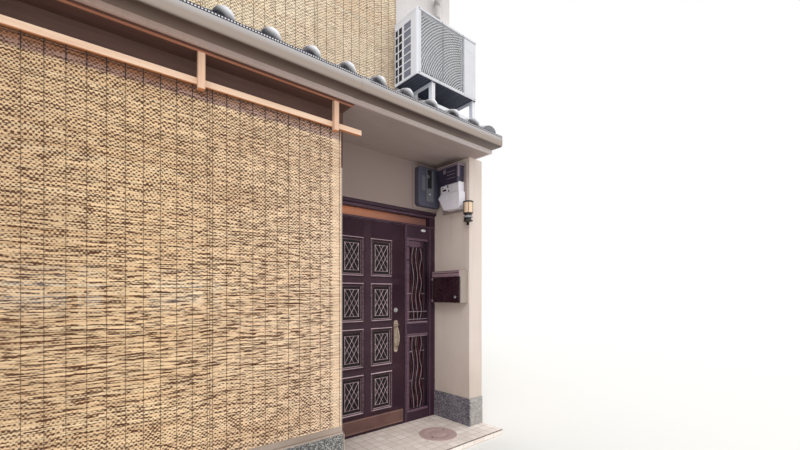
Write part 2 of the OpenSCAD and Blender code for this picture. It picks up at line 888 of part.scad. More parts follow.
// Stacked ridge: layers that stand on the boards, a round cap tile, and an end tile on each gable
module ridge_tiles() {
    z0 = deck_top(ridge_y - ridge_half);
    zr = deck_top(ridge_y);
    cap_z = zr + ridge_h - ridge_cap_d / 2;
    left = ridge_side(-1, z0, cap_z);
    right = ridge_side(1, z0, cap_z);
    n = len(left);
    color([0.46, 0.48, 0.51]) placed() {
        along_x(ridge_end_t - e, house_w - ridge_end_t + e)
            polygon(concat([[ridge_y, zr]], right, [for (i = [n - 1:-1:0]) left[i]]));
        translate([ridge_end_t - e, ridge_y, cap_z]) rotate([0, 90, 0])
            cylinder(d = ridge_cap_d, h = house_w - 2 * ridge_end_t + 2 * e);
        for (x = [0, house_w - ridge_end_t])
            along_x(x, x + ridge_end_t) ridge_end_outline();
    }
}

// Ridge-end tile seen from the side: a round head on a stem, with feet over the tile rolls
module ridge_end_outline() {
    crest = roll_h / cos(main_ang) + seat;
    foot_y = ridge_half + ridge_foot;
    z_in = deck_top(ridge_y - ridge_half) + crest;
    z_out = deck_top(ridge_y - foot_y) + crest;
    head_z = deck_top(ridge_y) + ridge_h + ridge_rise - ridge_head_d / 2;
    translate([ridge_y, head_z]) circle(d = ridge_head_d);
    polygon([
        [ridge_y, deck_top(ridge_y)],
        [ridge_y + ridge_half, deck_top(ridge_y - ridge_half)],
        [ridge_y + ridge_half, z_in],
        [ridge_y + foot_y, z_out],
        [ridge_y + foot_y, z_out + ridge_foot],
        [ridge_y + ridge_half, z_in + ridge_foot * 1.6],
        [ridge_y + ridge_head_d * 0.4, head_z],
        [ridge_y - ridge_head_d * 0.4, head_z],
        [ridge_y - ridge_half, z_in + ridge_foot * 1.6],
        [ridge_y - foot_y, z_out + ridge_foot],
        [ridge_y - foot_y, z_out],
        [ridge_y - ridge_half, z_in],
        [ridge_y - ridge_half, deck_top(ridge_y - ridge_half)]
    ]);
}

// Foot of the main roof's gutters, low enough for the tiles' round caps
main_gutter_z = deck_under(eave_y) - main_gutter_drop;

module gutter_front() {
    color([0.73, 0.71, 0.66]) placed() gutter(0, house_w, eave_y - fascia_t, main_gutter_z);
}

module gutter_back() {
    color([0.73, 0.71, 0.66]) placed() mirrored_back()
        gutter(0, house_w, eave_y - fascia_t, main_gutter_z);
}

// A downpipe from a gutter's foot across to a wall and down it, with two straps
module downpipe(x, gutter_y, gutter_z, pipe_y, face_y, end_z) {
    z1 = gutter_z - pipe_drop;
    z2 = z1 - pipe_fall * abs(pipe_y - gutter_y);
    pipe_run([[x, gutter_y, gutter_z], [x, gutter_y, z1], [x, pipe_y, z2], [x, pipe_y, end_z]]);
    for (z = [end_z + strap_in, z2 - strap_in])
        block([x - strap_w / 2, x + strap_w / 2], [min(pipe_y, face_y), max(pipe_y, face_y)], [z, z + strap_w]);
}

// From the front gutter on to the pent roof, from the pent roof's gutter and from
// the back gutter to the ground
module downpipes() {
    roof_end_z = pent_top(body_y) + roll_h / cos(pent_ang) + flashing_h + pipe_end / 3;
    gutter_mid = gutter_d / 2;
    x = in_x1 - pipe_off;
    color([0.70, 0.67, 0.62]) placed() {
        downpipe(x, eave_y - fascia_t - gutter_mid, main_gutter_z, body_y - pipe_off, body_y, roof_end_z);
        downpipe(pent_x0 + pipe_d, -pent_out - gutter_mid, soffit_z + gutter_lift, -pipe_off, 0, pipe_end);
        downpipe(x, back_eave_y + fascia_t + gutter_mid, main_gutter_z, back_y + pipe_off, back_y, pipe_end);
    }
}

module door_frame() {
    y = [frame_y, frame_y + frame_d];
    z1 = frame_top_z - head_h;
    stop_y = frame_y + leaf_t + leaf_gap;
    side_x = mullion_x + side_stile;
    stop_lap = 15;
    color([0.26, 0.18, 0.20]) placed() {
        // Jamb, post, head, threshold and the bar under the amber light
        block([bay_x1, leaf_x0 - hinge_gap], y, [porch_h, frame_top_z]);
        block([post_x, in_x1], y, [porch_h, frame_top_z]);
        block([bay_x1, in_x1], y, [z1, frame_top_z]);
        block([bay_x1, in_x1], [frame_y - drip_out, frame_y + e], [z1 + head_h / 2, frame_top_z]);
        block([bay_x1, in_x1], y, [porch_h, porch_h + threshold_h]);
        block([bay_x1, in_x1], [frame_y, stop_y + side_stile], [transom_z, transom_z + transom_bar]);
        // Stops behind the leaf
        block([leaf_x0 - hinge_gap - e, leaf_x0 + stop_lap], [stop_y, y[1]], [porch_h, transom_z + e]);
        block([mullion_x - stop_lap, mullion_x + e], [stop_y, y[1]], [porch_h, transom_z + e]);
        // Sidelight: stiles and rails
        block([mullion_x, side_x], y, [porch_h, transom_z + e]);
        block([post_x - side_stile, post_x + e], y, [porch_h, transom_z + e]);
        block([mullion_x, post_x], y, [porch_h, porch_h + side_foot_h]);
        block([mullion_x, post_x], y, [porch_h + side_rail_z, porch_h + side_rail_z + side_rail_h]);
        block([mullion_x, post_x], y, [transom_z - side_top_h, transom_z + transom_bar]);
    }
}

// One knuckle of a hinge, from z0 up
module knuckle(z0) {
    translate([hinge_x, hinge_y, z0]) cylinder(d = knuckle_d, h = knuckle_h);
}

module door_hinges() {
    color([0.30, 0.27, 0.25]) placed() for (z = hinge_zs) {
        for (k = [-1.5, 0.5]) {
            z0 = z + k * knuckle_h + sign(k) * knuckle_gap;
            knuckle(z0);
            block([leaf_x0 - hinge_gap - hinge_plate_w, hinge_x], [frame_y - hinge_plate_t, frame_y],
                [z0, z0 + knuckle_h]);
        }
        translate([hinge_x, hinge_y, z - 1.5 * knuckle_h - knuckle_gap])
            cylinder(d = pin_d, h = 3 * knuckle_h + 2 * knuckle_gap);
    }
}

// Stepped moulding round a panel, standing on the leaf's face at y = 0, and its carved field
module carved_panel() {
    in_w = panel_w - 6 * mould_step;
    in_h = panel_h - 6 * mould_step;
    slope = atan(in_h / in_w);
    for (s = [0:1])
        difference() {
            block([s * mould_step, panel_w - s * mould_step], [-mould_rise * (2 - s), e],
                [s * mould_step, panel_h - s * mould_step]);
            block([(s + 1) * mould_step, panel_w - (s + 1) * mould_step], [-mould_rise * 3, 2 * e],
                [(s + 1) * mould_step, panel_h - (s + 1) * mould_step]);
        }
    // Carved lattice: a cross and a diamond
    translate([3 * mould_step, 0, 3 * mould_step]) intersection() {
        block([0, in_w], [-carve_h, e], [0, in_h]);
        union() {
            for (side = [-1, 1]) {
                translate([in_w / 2, 0, in_h / 2]) rotate([0, -side * slope, 0])
                    block([-in_h, in_h], [-carve_h, e], [-carve_w / 2, carve_w / 2]);
                for (end = [-1, 1])
                    translate([in_w / 2 + end * in_w / 4, 0, in_h / 2 + side * end * in_h / 4])
                        rotate([0, side * slope, 0])
                            block([-in_h / 2, in_h / 2], [-carve_h, e], [-carve_w / 2, carve_w / 2]);
            }
        }
    }
}

module door_leaf() {
    color([0.27, 0.19, 0.21]) placed() {
        block([leaf_x0, leaf_x0 + leaf_w], [frame_y, frame_y + leaf_t], [leaf_z0, leaf_top_z]);
        translate([leaf_x0 + panel_first, frame_y, leaf_z0 + panel_foot]) for (col = [0, 1], row = [0:3])
            translate([col * panel_step, 0, row * panel_rise]) carved_panel();
        // The leaf's own hinge knuckles
        for (z = hinge_zs)
            difference() {
                union() {
                    knuckle(z - knuckle_h / 2);
                    block([hinge_x, leaf_x0 + hinge_plate_w], [frame_y - hinge_plate_t, frame_y + e],
                        [z - knuckle_h / 2, z + knuckle_h / 2]);
                }
                translate([hinge_x, hinge_y, z - knuckle_h]) cylinder(d = pin_d + 2 * seat, h = 2 * knuckle_h);
            }
    }
}

// Thumb-latch plate with its grip, and the round lock over it
module door_handle() {
    x = leaf_x0 + latch_x;
    z0 = porch_h + latch_z;
    plate_t = 4;
    grip_w = latch_w * 0.4;
    grip_z = [z0 + latch_h / 7, z0 + latch_h * 6 / 7];
    color([0.72, 0.58, 0.32]) placed() {
        block([x - latch_w / 2, x + latch_w / 2], [frame_y - plate_t, frame_y], [z0, z0 + latch_h]);
        for (z = grip_z)
            translate([x, frame_y - plate_t + e, z]) rotate([90, 0, 0])
                cylinder(d = grip_w * 0.8, h = 2 * grip_w);
        translate([x, frame_y - plate_t - 2 * grip_w, grip_z[0] - grip_w])
            cylinder(d = grip_w, h = grip_z[1] - grip_z[0] + 2 * grip_w);
        translate([x, frame_y, porch_h + lock_z]) rotate([90, 0, 0]) cylinder(d = lock_d, h = 2.5 * plate_t);
    }
}

module transom_glass() {
    y = frame_y + frame_d / 2;
    color([0.75, 0.45, 0.22]) placed()
        block([leaf_x0 - hinge_gap, post_x], [y - glass_t / 2, y + glass_t / 2],
            [transom_z + transom_bar, frame_top_z - head_h]);
}

// One waving bar, drawn in X and Z about x = 0
module wave_bar(height, phase) {
    n = ceil(height / iron_wave * 10);
    line = [for (i = [0:n]) [iron_swing * sin(360 * (i / n * height / iron_wave) + phase), i / n * height]];
    polygon(concat(
        [for (p = line) [p[0] - iron_w / 2, p[1]]],
        [for (i = [n:-1:0]) [line[i][0] + iron_w / 2, line[i][1]]]
    ));
}

// Iron grille of one light: waving pairs and a tie at each end
module iron_panel(x0, x1, z0, z1) {
    step = (x1 - x0) / iron_pairs;
    tie_h = 2 * iron_w;
    y0 = frame_y + 2 * iron_t;
    along_y(y0, y0 + iron_t)
        for (i = [0:iron_pairs - 1], phase = [0, 180])
            translate([x0 + (i + 0.5) * step, z0]) wave_bar(z1 - z0, phase);
    for (z = [z0, z1 - tie_h, (z0 + z1 - tie_h) / 2])
        block([x0, x1], [y0, y0 + iron_t], [z, z + tie_h]);
}

module sidelight_grille() {
    x0 = mullion_x + side_stile;
    x1 = post_x - side_stile;
    color([0.30, 0.22, 0.22]) placed() {
        iron_panel(x0, x1, porch_h + side_foot_h, porch_h + side_rail_z);
        iron_panel(x0, x1, porch_h + side_rail_z + side_rail_h, transom_z - side_top_h);
    }
}

module sidelight_glass() {
    x = [mullion_x + side_stile, post_x - side_stile];
    y = frame_y + frame_d / 2;
    color([0.32, 0.22, 0.20]) placed() {
        block(x, [y, y + glass_t], [porch_h + side_foot_h, porch_h + side_rail_z]);
        block(x, [y, y + glass_t], [porch_h + side_rail_z + side_rail_h, transom_z - side_top_h]);
    }
}

// A sliding sash with its left end at x0 and its front at y0
module sash(x0, w, z0, h, y0) {
    difference() {
        block([x0, x0 + w], [y0, y0 + sash_t], [z0, z0 + h]);
        block([x0 + sash_w, x0 + w - sash_w], [y0 - e, y0 + sash_t + e], [z0 + sash_w, z0 + h - sash_w]);
    }
}

// Width of one of a window's sashes, which overlap by a stile
function sash_width(w, lights) = (w - 2 * window_frame_w + (lights - 1) * sash_w) / lights;

// Left end and front of each sash, in two tracks by turns
function sash_place(i, x0, w, y0, lights) = [
    x0 + window_frame_w + i * (sash_width(w, lights) - sash_w),
    y0 + (window_frame_d - 2 * sash_t) / 3 + (i % 2) * (sash_t + (window_frame_d - 2 * sash_t) / 3)
];

// A window's frame and its sliding sashes, in the hole from x0 and z0
module window_frame(x0, w, z0, h, y0, lights) {
    f = window_frame_w;
    difference() {
        block([x0, x0 + w], [y0, y0 + window_frame_d], [z0, z0 + h]);
        block([x0 + f, x0 + w - f], [y0 - e, y0 + window_frame_d + e], [z0 + f, z0 + h - f]);
    }
    for (i = [0:lights - 1]) {
        at = sash_place(i, x0, w, y0, lights);
        sash(at[0], sash_width(w, lights), z0 + f - e, h - 2 * f + 2 * e, at[1]);
    }
}

// The glass in the middle of each sash
module window_sheet(x0, w, z0, h, y0, lights) {
    inset = window_frame_w - e + sash_w;
    for (i = [0:lights - 1]) {
        at = sash_place(i, x0, w, y0, lights);
        y = at[1] + sash_t / 2;
        block([at[0] + sash_w, at[0] + sash_width(w, lights) - sash_w],
            [y - glass_t / 2, y + glass_t / 2], [z0 + inset, z0 + h - inset]);
    }
}

module bay_window() {
    color([0.40, 0.30, 0.22]) placed()
        window_frame(bay_window_x0, bay_window_w, bay_sill_z, bay_window_h, window_set, 4);
}

module bay_glass() {
    color([0.62, 0.70, 0.72]) placed()
        window_sheet(bay_window_x0, bay_window_w, bay_sill_z, bay_window_h, window_set, 4);
}

module upper_window() {
    color([0.55, 0.55, 0.53]) placed()
        window_frame(upper_window_x0, upper_window_w, upper_sill_z, upper_window_h, body_y + window_set, 4);
}

module upper_glass() {
    color([0.62, 0.70, 0.72]) placed()
        window_sheet(upper_window_x0, upper_window_w, upper_sill_z, upper_window_h, body_y + window_set, 4);
}

// Front of the frames in the back wall
back_window_y = back_y - window_set - window_frame_d;

module back_windows() {
    color([0.55, 0.55, 0.53]) placed() for (x = back_window_xs, z = [porch_h, upper_floor_z])
        window_frame(x, back_window_w, z + back_sill, back_window_h, back_window_y, 2);
}

module back_glass() {
    color([0.62, 0.70, 0.72]) placed() for (x = back_window_xs, z = [porch_h, upper_floor_z])
        window_sheet(x, back_window_w, z + back_sill, back_window_h, back_window_y, 2);
}

// Foot of the upper screens' rail
upper_rail_z = upper_sill_z + upper_window_h + upper_rail_lift;

// Planes of the lower screens, the rail over them and the struts in front of it
rail_z1 = soffit_z - rail_drop;
rail_z0 = rail_z1 - rail_h;
rail_y1 = -screen_out + rail_t / 2;
rail_y0 = rail_y1 - rail_t;
strut_y0 = rail_y0 - strut_d;
lower_screens_x0 = in_x0 + lower_screen_left;
lower_screens_x1 = bay_x1 - lower_screen_right;
strut_x0 = in_x0 + strut_left;
strut_step = (bay_x1 - strut_right - strut_x0) / (strut_n - 1);
rail_x0 = strut_x0 - rail_tail;

// Struts under the soffit, the rail that they carry, and a batten under the soffit
module screen_frame() {
    color([0.83, 0.66, 0.48]) placed() {
        block([rail_x0, bay_x1 + rail_nose], [rail_y0, rail_y1], [rail_z0, rail_z1]);
        block([rail_x0, bay_x1], [rail_y0 - e, rail_y0 + batten_h], [soffit_z - batten_h, soffit_z]);
        for (i = [0:strut_n - 1])
            block([strut_x0 + i * strut_step - strut_w / 2, strut_x0 + i * strut_step + strut_w / 2],
                [strut_y0, rail_y0], [rail_z1 - strut_tail, soffit_z]);
    }
}

// A row of reed screens on their cords between x0 and x1, hung at z1
module reed_screens(n, x0, x1, y, z0, z1) {
    w = (x1 - x0 - (n - 1) * screen_gap) / n;
    cords = floor(w / cord_step);
    first = (w - (cords - 1) * cord_step) / 2;
    for (i = [0:n - 1])
        translate([x0 + i * (w + screen_gap), y, 0]) {
            block([0, w], [-screen_t / 2, screen_t / 2], [z0, z1 - hang]);
            for (k = [0:cords - 1])
                block([first + k * cord_step - cord_t / 2, first + k * cord_step + cord_t / 2],
                    [-cord_t / 2, cord_t / 2], [z1 - hang - e, z1]);
        }
}

module lower_screens_reed() {
    color([0.80, 0.66, 0.46]) placed()
        reed_screens(lower_screens, lower_screens_x0, lower_screens_x1, -screen_out, lower_screen_z, rail_z0);
}

// Plane and ends of the upper screens
upper_screen_y = body_y - upper_screen_out;
upper_screens_x0 = in_x0 + upper_screen_left;
upper_screens_x1 = in_x1 - upper_screen_right;
upper_rail_nose = 40;

// Rail on brackets in front of the upper window
module upper_screen_rail() {
    x0 = upper_screens_x0 - upper_rail_nose;
    x1 = upper_screens_x1 + upper_rail_nose;
    step = (x1 - x0 - 2 * upper_rail_nose - strut_w) / (bracket_n - 1);
    color([0.83, 0.66, 0.48]) placed() {
        block([x0, x1], [upper_screen_y - rail_t / 2, upper_screen_y + rail_t / 2],
            [upper_rail_z, upper_rail_z + rail_h]);
        for (i = [0:bracket_n - 1])
            block([x0 + upper_rail_nose + i * step, x0 + upper_rail_nose + i * step + strut_w],
                [upper_screen_y, body_y], [upper_rail_z + rail_h / 5, upper_rail_z + rail_h * 4 / 5]);
    }
}

module upper_screens_reed() {
    z0 = pent_top(upper_screen_y) + roll_h / cos(pent_ang) + upper_screen_gap;
    color([0.80, 0.66, 0.46]) placed()
        reed_screens(upper_screens, upper_screens_x0, upper_screens_x1, upper_screen_y, z0, upper_rail_z);
}

// Outdoor unit's place over the pent roof
unit_x0 = house_w - unit_side - unit_w;
unit_y1 = body_y - unit_back;
unit_y0 = unit_y1 - unit_d;
grille_x = [unit_x0 + grille_side, unit_x0 + grille_side + grille_w];
grille_z = [unit_z + grille_edge, unit_z + unit_h - grille_edge];

// Plan of the unit's casing, grown by some distance, with its front corners rounded
module unit_plan(grow) {
    r = unit_round;
    difference() {
        translate([-grow, -grow]) square([unit_w + 2 * grow, unit_d + 2 * grow]);
        for (x = [-grow, unit_w + grow - r])
            difference() {
                translate([x == -grow ? x - e : x, -grow - e]) square([r + e, r + e]);
                translate([x == -grow ? x + r : x, r - grow]) circle(r = r);
            }
    }
}

// Casing with the recess behind its grille, a fan's mouth in it, slots in its side and a lid
module outdoor_unit() {
    lid_h = 18;
    fan_r = (grille_z[1] - grille_z[0]) / 2 - grille_bar;
    cols = 2;
    rows = floor((unit_h - 2 * grille_edge) / slot_step);
    color([0.90, 0.91, 0.93]) placed() difference() {
        translate([unit_x0, unit_y0, unit_z]) {
            linear_extrude(height = unit_h) unit_plan(0);
            translate([0, 0, unit_h - lid_h]) linear_extrude(height = lid_h) unit_plan(2);
        }
        block(grille_x, [unit_y0 - 3 * e, unit_y0 + grille_depth], grille_z);
        translate([grille_x[0] + grille_w / 2, unit_y0 + 2 * grille_depth, unit_z + unit_h / 2])
            rotate([90, 0, 0]) cylinder(r = fan_r, h = grille_depth + e);
        for (c = [0:cols - 1], k = [0:rows - 1])
            translate([0,
                unit_y0 + unit_round + (grille_depth + grille_side) * 3 / 4 + c * (slot_w + unit_round),
                unit_z + grille_edge + k * slot_step])
                block([unit_x0 - 3 * e, unit_x0 + grille_side / 2], [0, slot_w], [0, slot_h]);
    }
}

// Bars across the unit's mouth, between a post at each side, with ribs behind them
module unit_grille() {
    y0 = unit_y0 + grille_bar / 2;
    ribs = 4;
    bars = floor((grille_z[1] - grille_z[0] - grille_bar) / grille_step);
    color([0.86, 0.87, 0.88]) placed() {
        for (k = [0:bars])
            block([grille_x[0] + grille_bar / 2, grille_x[1] - grille_bar / 2], [y0, y0 + 2 * grille_bar],
                [grille_z[0] + k * grille_step + seat, grille_z[0] + k * grille_step + seat + grille_bar]);
        for (k = [0:ribs])
            translate([grille_x[0] + seat + k * (grille_w - grille_bar - 2 * seat) / ribs, 0, 0])
                block([0, grille_bar], [y0 + 2 * grille_bar - e, y0 + 3 * grille_bar],
                    [grille_z[0] + seat, grille_z[1] - seat]);
    }
}

// Steel stand: two side frames under the unit, and foot rails across the tile rolls
module outdoor_stand() {
    z1 = unit_z - seat;
    xs = [unit_x0 + leg_side, unit_x0 + leg_side + leg_step];
    ys = [unit_y0 + steel_w / 2, unit_y1 - steel_w * 3 / 2];
    color([0.88, 0.89, 0.90]) placed() {
        for (x = xs) {
            block([x, x + steel_w], [ys[0], ys[1] + steel_w], [z1 - steel_t, z1]);
            block([x, x + steel_t], [ys[0], ys[1] + steel_w], [z1 - steel_w * 3 / 4, z1]);
        }
        for (x = xs, y = ys) {
            foot = pent_top(y + steel_w) + roll_h / cos(pent_ang);
            // An angle section: a web and a flange
            block([x, x + steel_t], [y, y + steel_w], [foot, z1]);
            block([x, x + steel_w], [y, y + steel_t], [foot, z1]);
        }
        for (y = ys) {
            foot = pent_top(y + steel_w) + roll_h / cos(pent_ang);
            block([xs[0] - foot_tail, xs[1] + steel_w], [y, y + steel_w], [foot, foot + steel_t]);
            block([xs[0] - foot_tail, xs[1] + steel_w], [y, y + steel_t], [foot, foot + steel_w * 3 / 4]);
        }
    }
}

// Letter box: heights of its door, and of the hinge lugs above and below the door's knuckle
mail_door_z = mail_z + clear;
mail_lug_h = 24;
mail_lug_zs = [mail_door_z, mail_door_z + mail_door_h - mail_lug_h];

// An open-fronted case with a flap band over its door, and two lugs that carry the hinge pin
module mailbox_body() {
    r = mail_knuckle_d / 2;
    color([0.62, 0.58, 0.56]) placed() {
        difference() {
            block([mail_x, in_x1], [mail_y0, mail_y1], [mail_z, mail_z + mail_h]);
            block([mail_x - e, in_x1 - mail_t], [mail_y0 + mail_t, mail_y1 - mail_t],
                [mail_z + mail_t, mail_z + mail_h - mail_band]);
        }
        // Flap band, with a lip along its foot
        block([mail_hinge_x, mail_x + e], [mail_y0, mail_y1],
            [mail_z + mail_h - mail_band + mail_t, mail_z + mail_h - mail_t]);
        block([mail_hinge_x - mail_lip, mail_x], [mail_y0 + mail_lip, mail_y1 - mail_lip],
            [mail_z + mail_h - mail_band + mail_lip, mail_z + mail_h - mail_band + 2 * mail_lip]);
        for (z = mail_lug_zs) {
            translate([mail_hinge_x, mail_hinge_y, z]) cylinder(r = r, h = mail_lug_h);
            block([mail_hinge_x, mail_x + e], [mail_hinge_y + 2 * seat, mail_hinge_y + r], [z, z + mail_lug_h]);
            block([mail_x, mail_x + 3 * r], [mail_hinge_y - e, mail_hinge_y + r], [z, z + mail_lug_h]);
        }
        translate([mail_hinge_x, mail_hinge_y, mail_door_z]) cylinder(d = mail_pin_d, h = mail_door_h);
    }
}

// Door of the letter box, with a rolled knuckle round the hinge pin and a round knob
module mailbox_door() {
    r = mail_knuckle_d / 2;
    knuckle_z0 = mail_lug_zs[0] + mail_lug_h + e;
    knuckle_z1 = mail_lug_zs[1] - e;
    color([0.20, 0.08, 0.10]) placed() difference() {
        union() {
            block([mail_hinge_x, mail_hinge_x + mail_door_t], [mail_y0, mail_hinge_y],
                [mail_door_z, mail_door_z + mail_door_h]);
            translate([mail_hinge_x, mail_hinge_y, knuckle_z0]) cylinder(r = r, h = knuckle_z1 - knuckle_z0);
            translate([mail_hinge_x + e, mail_y0 + 1.6 * mail_knob_d, mail_door_z + 2 * mail_knob_d])
                rotate([0, -90, 0]) cylinder(d = mail_knob_d, h = mail_knob_d * 0.6 + e);
        }
        translate([mail_hinge_x, mail_hinge_y, mail_door_z - e])
            cylinder(d = mail_pin_d + 2 * seat, h = mail_door_h + 2 * e);
        // Notches that the lugs turn in
        for (z = mail_lug_zs)
            translate([mail_hinge_x, mail_hinge_y, z])
                block([-e, mail_door_t + e], [-r - clear, e], [-e, mail_lug_h + e]);
    }
}

// Breaker box on its board: a casing with a raised middle and a window let into it
module breaker_box() {
    x1 = in_x1 - breaker_side;
    z0 = frame_top_z + breaker_lift;
    y0 = body_y - breaker_d;
    mid = breaker_w / 3;
    color([0.24, 0.25, 0.27]) placed() difference() {
        union() {
            block([x1 - breaker_w - breaker_board, x1 + breaker_board], [body_y - board_back_t, body_y],
                [z0 - breaker_board, z0 + breaker_h + breaker_board]);
            along_y(y0 + board_back_t, body_y - e) rounded([x1 - breaker_w, z0], [breaker_w, breaker_h]);
            along_y(y0, y0 + board_back_t + e)
                rounded([x1 - breaker_w + mid, z0 + mid / 3], [mid, breaker_h - mid]);
        }
        block([x1 - breaker_w + mid * 1.25, x1 - breaker_w + mid * 1.75], [y0 - e, y0 + board_back_t / 2],
            [z0 + breaker_h * 0.4, z0 + breaker_h * 0.75]);
    }
}

// A rectangle with round corners, from its lower left corner
module rounded(at, size) {
    r = min(size[0], size[1]) / 10;
    translate([at[0] + r, at[1]]) square([size[0] - 2 * r, size[1]]);
    translate([at[0], at[1] + r]) square([size[0], size[1] - 2 * r]);
    for (x = [at[0] + r, at[0] + size[0] - r], z = [at[1] + r, at[1] + size[1] - r])
        translate([x, z]) circle(r = r);
}

// Electric meter on its board: the reading glass over a terminal cover with its lower corners cut off
module electric_meter() {
    edge = board_back_t * 1.5;
    y = [meter_set + edge, meter_set + meter_w - edge];
    x0 = in_x1 - meter_d;
    cut = meter_w / 6;
    cover_z = meter_z + edge;
    glass_z = cover_z + meter_h * 0.52;
    color([0.55, 0.56, 0.57]) placed() {
        block([in_x1 - board_back_t, in_x1], [meter_set, meter_set + meter_w], [meter_z, meter_z + meter_h]);
        along_x(x0 + edge, in_x1 - e) polygon([
            [y[0], cover_z + cut],
            [y[0] + cut, cover_z],
            [y[1] - cut, cover_z],
            [y[1], cover_z + cut],
            [y[1], glass_z],
            [y[0], glass_z]
        ]);
        along_x(x0, in_x1 - e)
            rounded([y[0], glass_z - e], [y[1] - y[0], meter_z + meter_h - edge - glass_z + e]);
    }
}

// Wall lamp at the wall's street end: plate, arm, and a body that carries the glass
lamp_x = in_x1 - lamp_off;
lamp_glass_z = lamp_z + lamp_body_h;

module wall_lamp() {
    plate_t = 8;
    arm = lamp_d / 4;
    color([0.16, 0.14, 0.14]) placed() {
        block([in_x1 - plate_t, in_x1], [plate_t + arm - lamp_d / 3, plate_t + arm],
            [lamp_z - arm, lamp_glass_z + lamp_glass_h + seat + plate_t]);
        block([lamp_x, in_x1 - plate_t + e], [-lamp_out, plate_t + arm],
            [lamp_glass_z + lamp_glass_h + seat, lamp_glass_z + lamp_glass_h + seat + plate_t]);
        block([lamp_x, in_x1 - plate_t + e], [plate_t - lamp_out, plate_t + arm],
            [lamp_z + arm, lamp_z + 2 * arm]);
        translate([lamp_x, -lamp_out, lamp_z]) cylinder(d1 = lamp_d * 0.6, d2 = lamp_d * 0.9, h = lamp_body_h);
        translate([lamp_x, -lamp_out, lamp_glass_z + lamp_glass_h + seat]) cylinder(d = lamp_d, h = plate_t);
        for (a = [0:90:270])
            translate([lamp_x, -lamp_out, 0]) rotate([0, 0, a + 45])
                block([lamp_d / 2 + seat, lamp_d / 2 + plate_t / 2], [-plate_t / 4, plate_t / 4],
                    [lamp_glass_z - plate_t, lamp_glass_z + lamp_glass_h + plate_t]);
        translate([lamp_x, -lamp_out, lamp_glass_z - plate_t])
            cylinder(d = lamp_d + plate_t, h = plate_t - seat);
        translate([lamp_x, -lamp_out, lamp_glass_z + lamp_glass_h + seat])
            cylinder(d = lamp_d + plate_t, h = plate_t / 2);
    }
}

module lamp_glass() {
    color([0.88, 0.76, 0.56]) placed()
        translate([lamp_x, -lamp_out, lamp_glass_z]) cylinder(d = lamp_d, h = lamp_glass_h);
}

module drain_cover() {
    color([0.52, 0.42, 0.40]) placed()
        translate([in_x1 - drain_side, drain_back, porch_h]) cylinder(d = drain_d, h = drain_h);
}

ground_floor();
porch_step();
drain_cover();
party_wall_left();
party_wall_right();
base_course();
front_bay_wall();
bay_head_board();
entrance_side_wall();
door_head_wall();
upper_front_wall();
back_wall_lower();
back_wall_upper();
upper_floor();
pent_soffit();
pent_fascia();
pent_deck();
pent_tiles();
pent_flashing();
pent_gutter();
main_rafters();
main_deck();
main_tiles_front();
main_tiles_back();
ridge_tiles();
gutter_front();
gutter_back();
downpipes();
door_frame();
door_hinges();
door_leaf();
door_handle();
transom_glass();
sidelight_grille();
sidelight_glass();
bay_window();
bay_glass();
upper_window();
upper_glass();
back_windows();
back_glass();
screen_frame();
lower_screens_reed();
upper_screen_rail();
upper_screens_reed();
outdoor_unit();
unit_grille();
outdoor_stand();
mailbox_body();
mailbox_door();
breaker_box();
electric_meter();
wall_lamp();
lamp_glass();
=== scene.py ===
"""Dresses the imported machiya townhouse: tiles, reed screens, carved door, fittings, finishes, light and camera.

Sizes are in the plan's millimetres unless a line says otherwise, and become metres when a form takes them in.
"""
import sys

import json
import logging
import math
from dataclasses import dataclass, field
from enum import Enum

import bpy
import numpy as np
from numpy.typing import ArrayLike
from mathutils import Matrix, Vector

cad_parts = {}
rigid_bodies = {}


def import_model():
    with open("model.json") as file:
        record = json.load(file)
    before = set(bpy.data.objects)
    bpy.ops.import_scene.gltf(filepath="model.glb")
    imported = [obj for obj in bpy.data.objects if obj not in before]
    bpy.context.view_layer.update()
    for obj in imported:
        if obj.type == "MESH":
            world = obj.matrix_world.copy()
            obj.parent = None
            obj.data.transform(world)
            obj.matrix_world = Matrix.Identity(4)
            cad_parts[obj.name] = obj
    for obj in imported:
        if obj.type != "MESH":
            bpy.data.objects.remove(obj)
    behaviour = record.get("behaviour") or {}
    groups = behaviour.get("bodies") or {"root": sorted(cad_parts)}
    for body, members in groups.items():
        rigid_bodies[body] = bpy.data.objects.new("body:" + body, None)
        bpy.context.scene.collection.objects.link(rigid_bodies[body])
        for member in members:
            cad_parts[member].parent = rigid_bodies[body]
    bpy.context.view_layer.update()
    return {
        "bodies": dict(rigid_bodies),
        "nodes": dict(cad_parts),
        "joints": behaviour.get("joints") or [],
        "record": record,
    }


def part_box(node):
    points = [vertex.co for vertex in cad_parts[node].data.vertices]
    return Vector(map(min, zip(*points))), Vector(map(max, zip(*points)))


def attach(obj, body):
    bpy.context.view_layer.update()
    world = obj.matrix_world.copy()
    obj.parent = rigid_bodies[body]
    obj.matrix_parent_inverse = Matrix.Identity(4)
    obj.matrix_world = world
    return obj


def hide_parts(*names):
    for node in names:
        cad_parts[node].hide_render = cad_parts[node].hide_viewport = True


LOG = logging.getLogger("townhouse")
Array = np.ndarray
Material = bpy.types.Material
Number = Array | float
Pair = tuple[float, float]
Pairs = tuple[Pair, ...]
Tone = tuple[float, float, float]
HOUSE, DOOR, LETTER_DOOR = "house", "entrance_door", "letter_box_door"
TURN = 2 * math.pi
ROUND = 28  # sides of what is turned large enough to show them
FINISHES: dict[str, Material] = {}  # the house's materials by their finishes' names


# ---- the plan

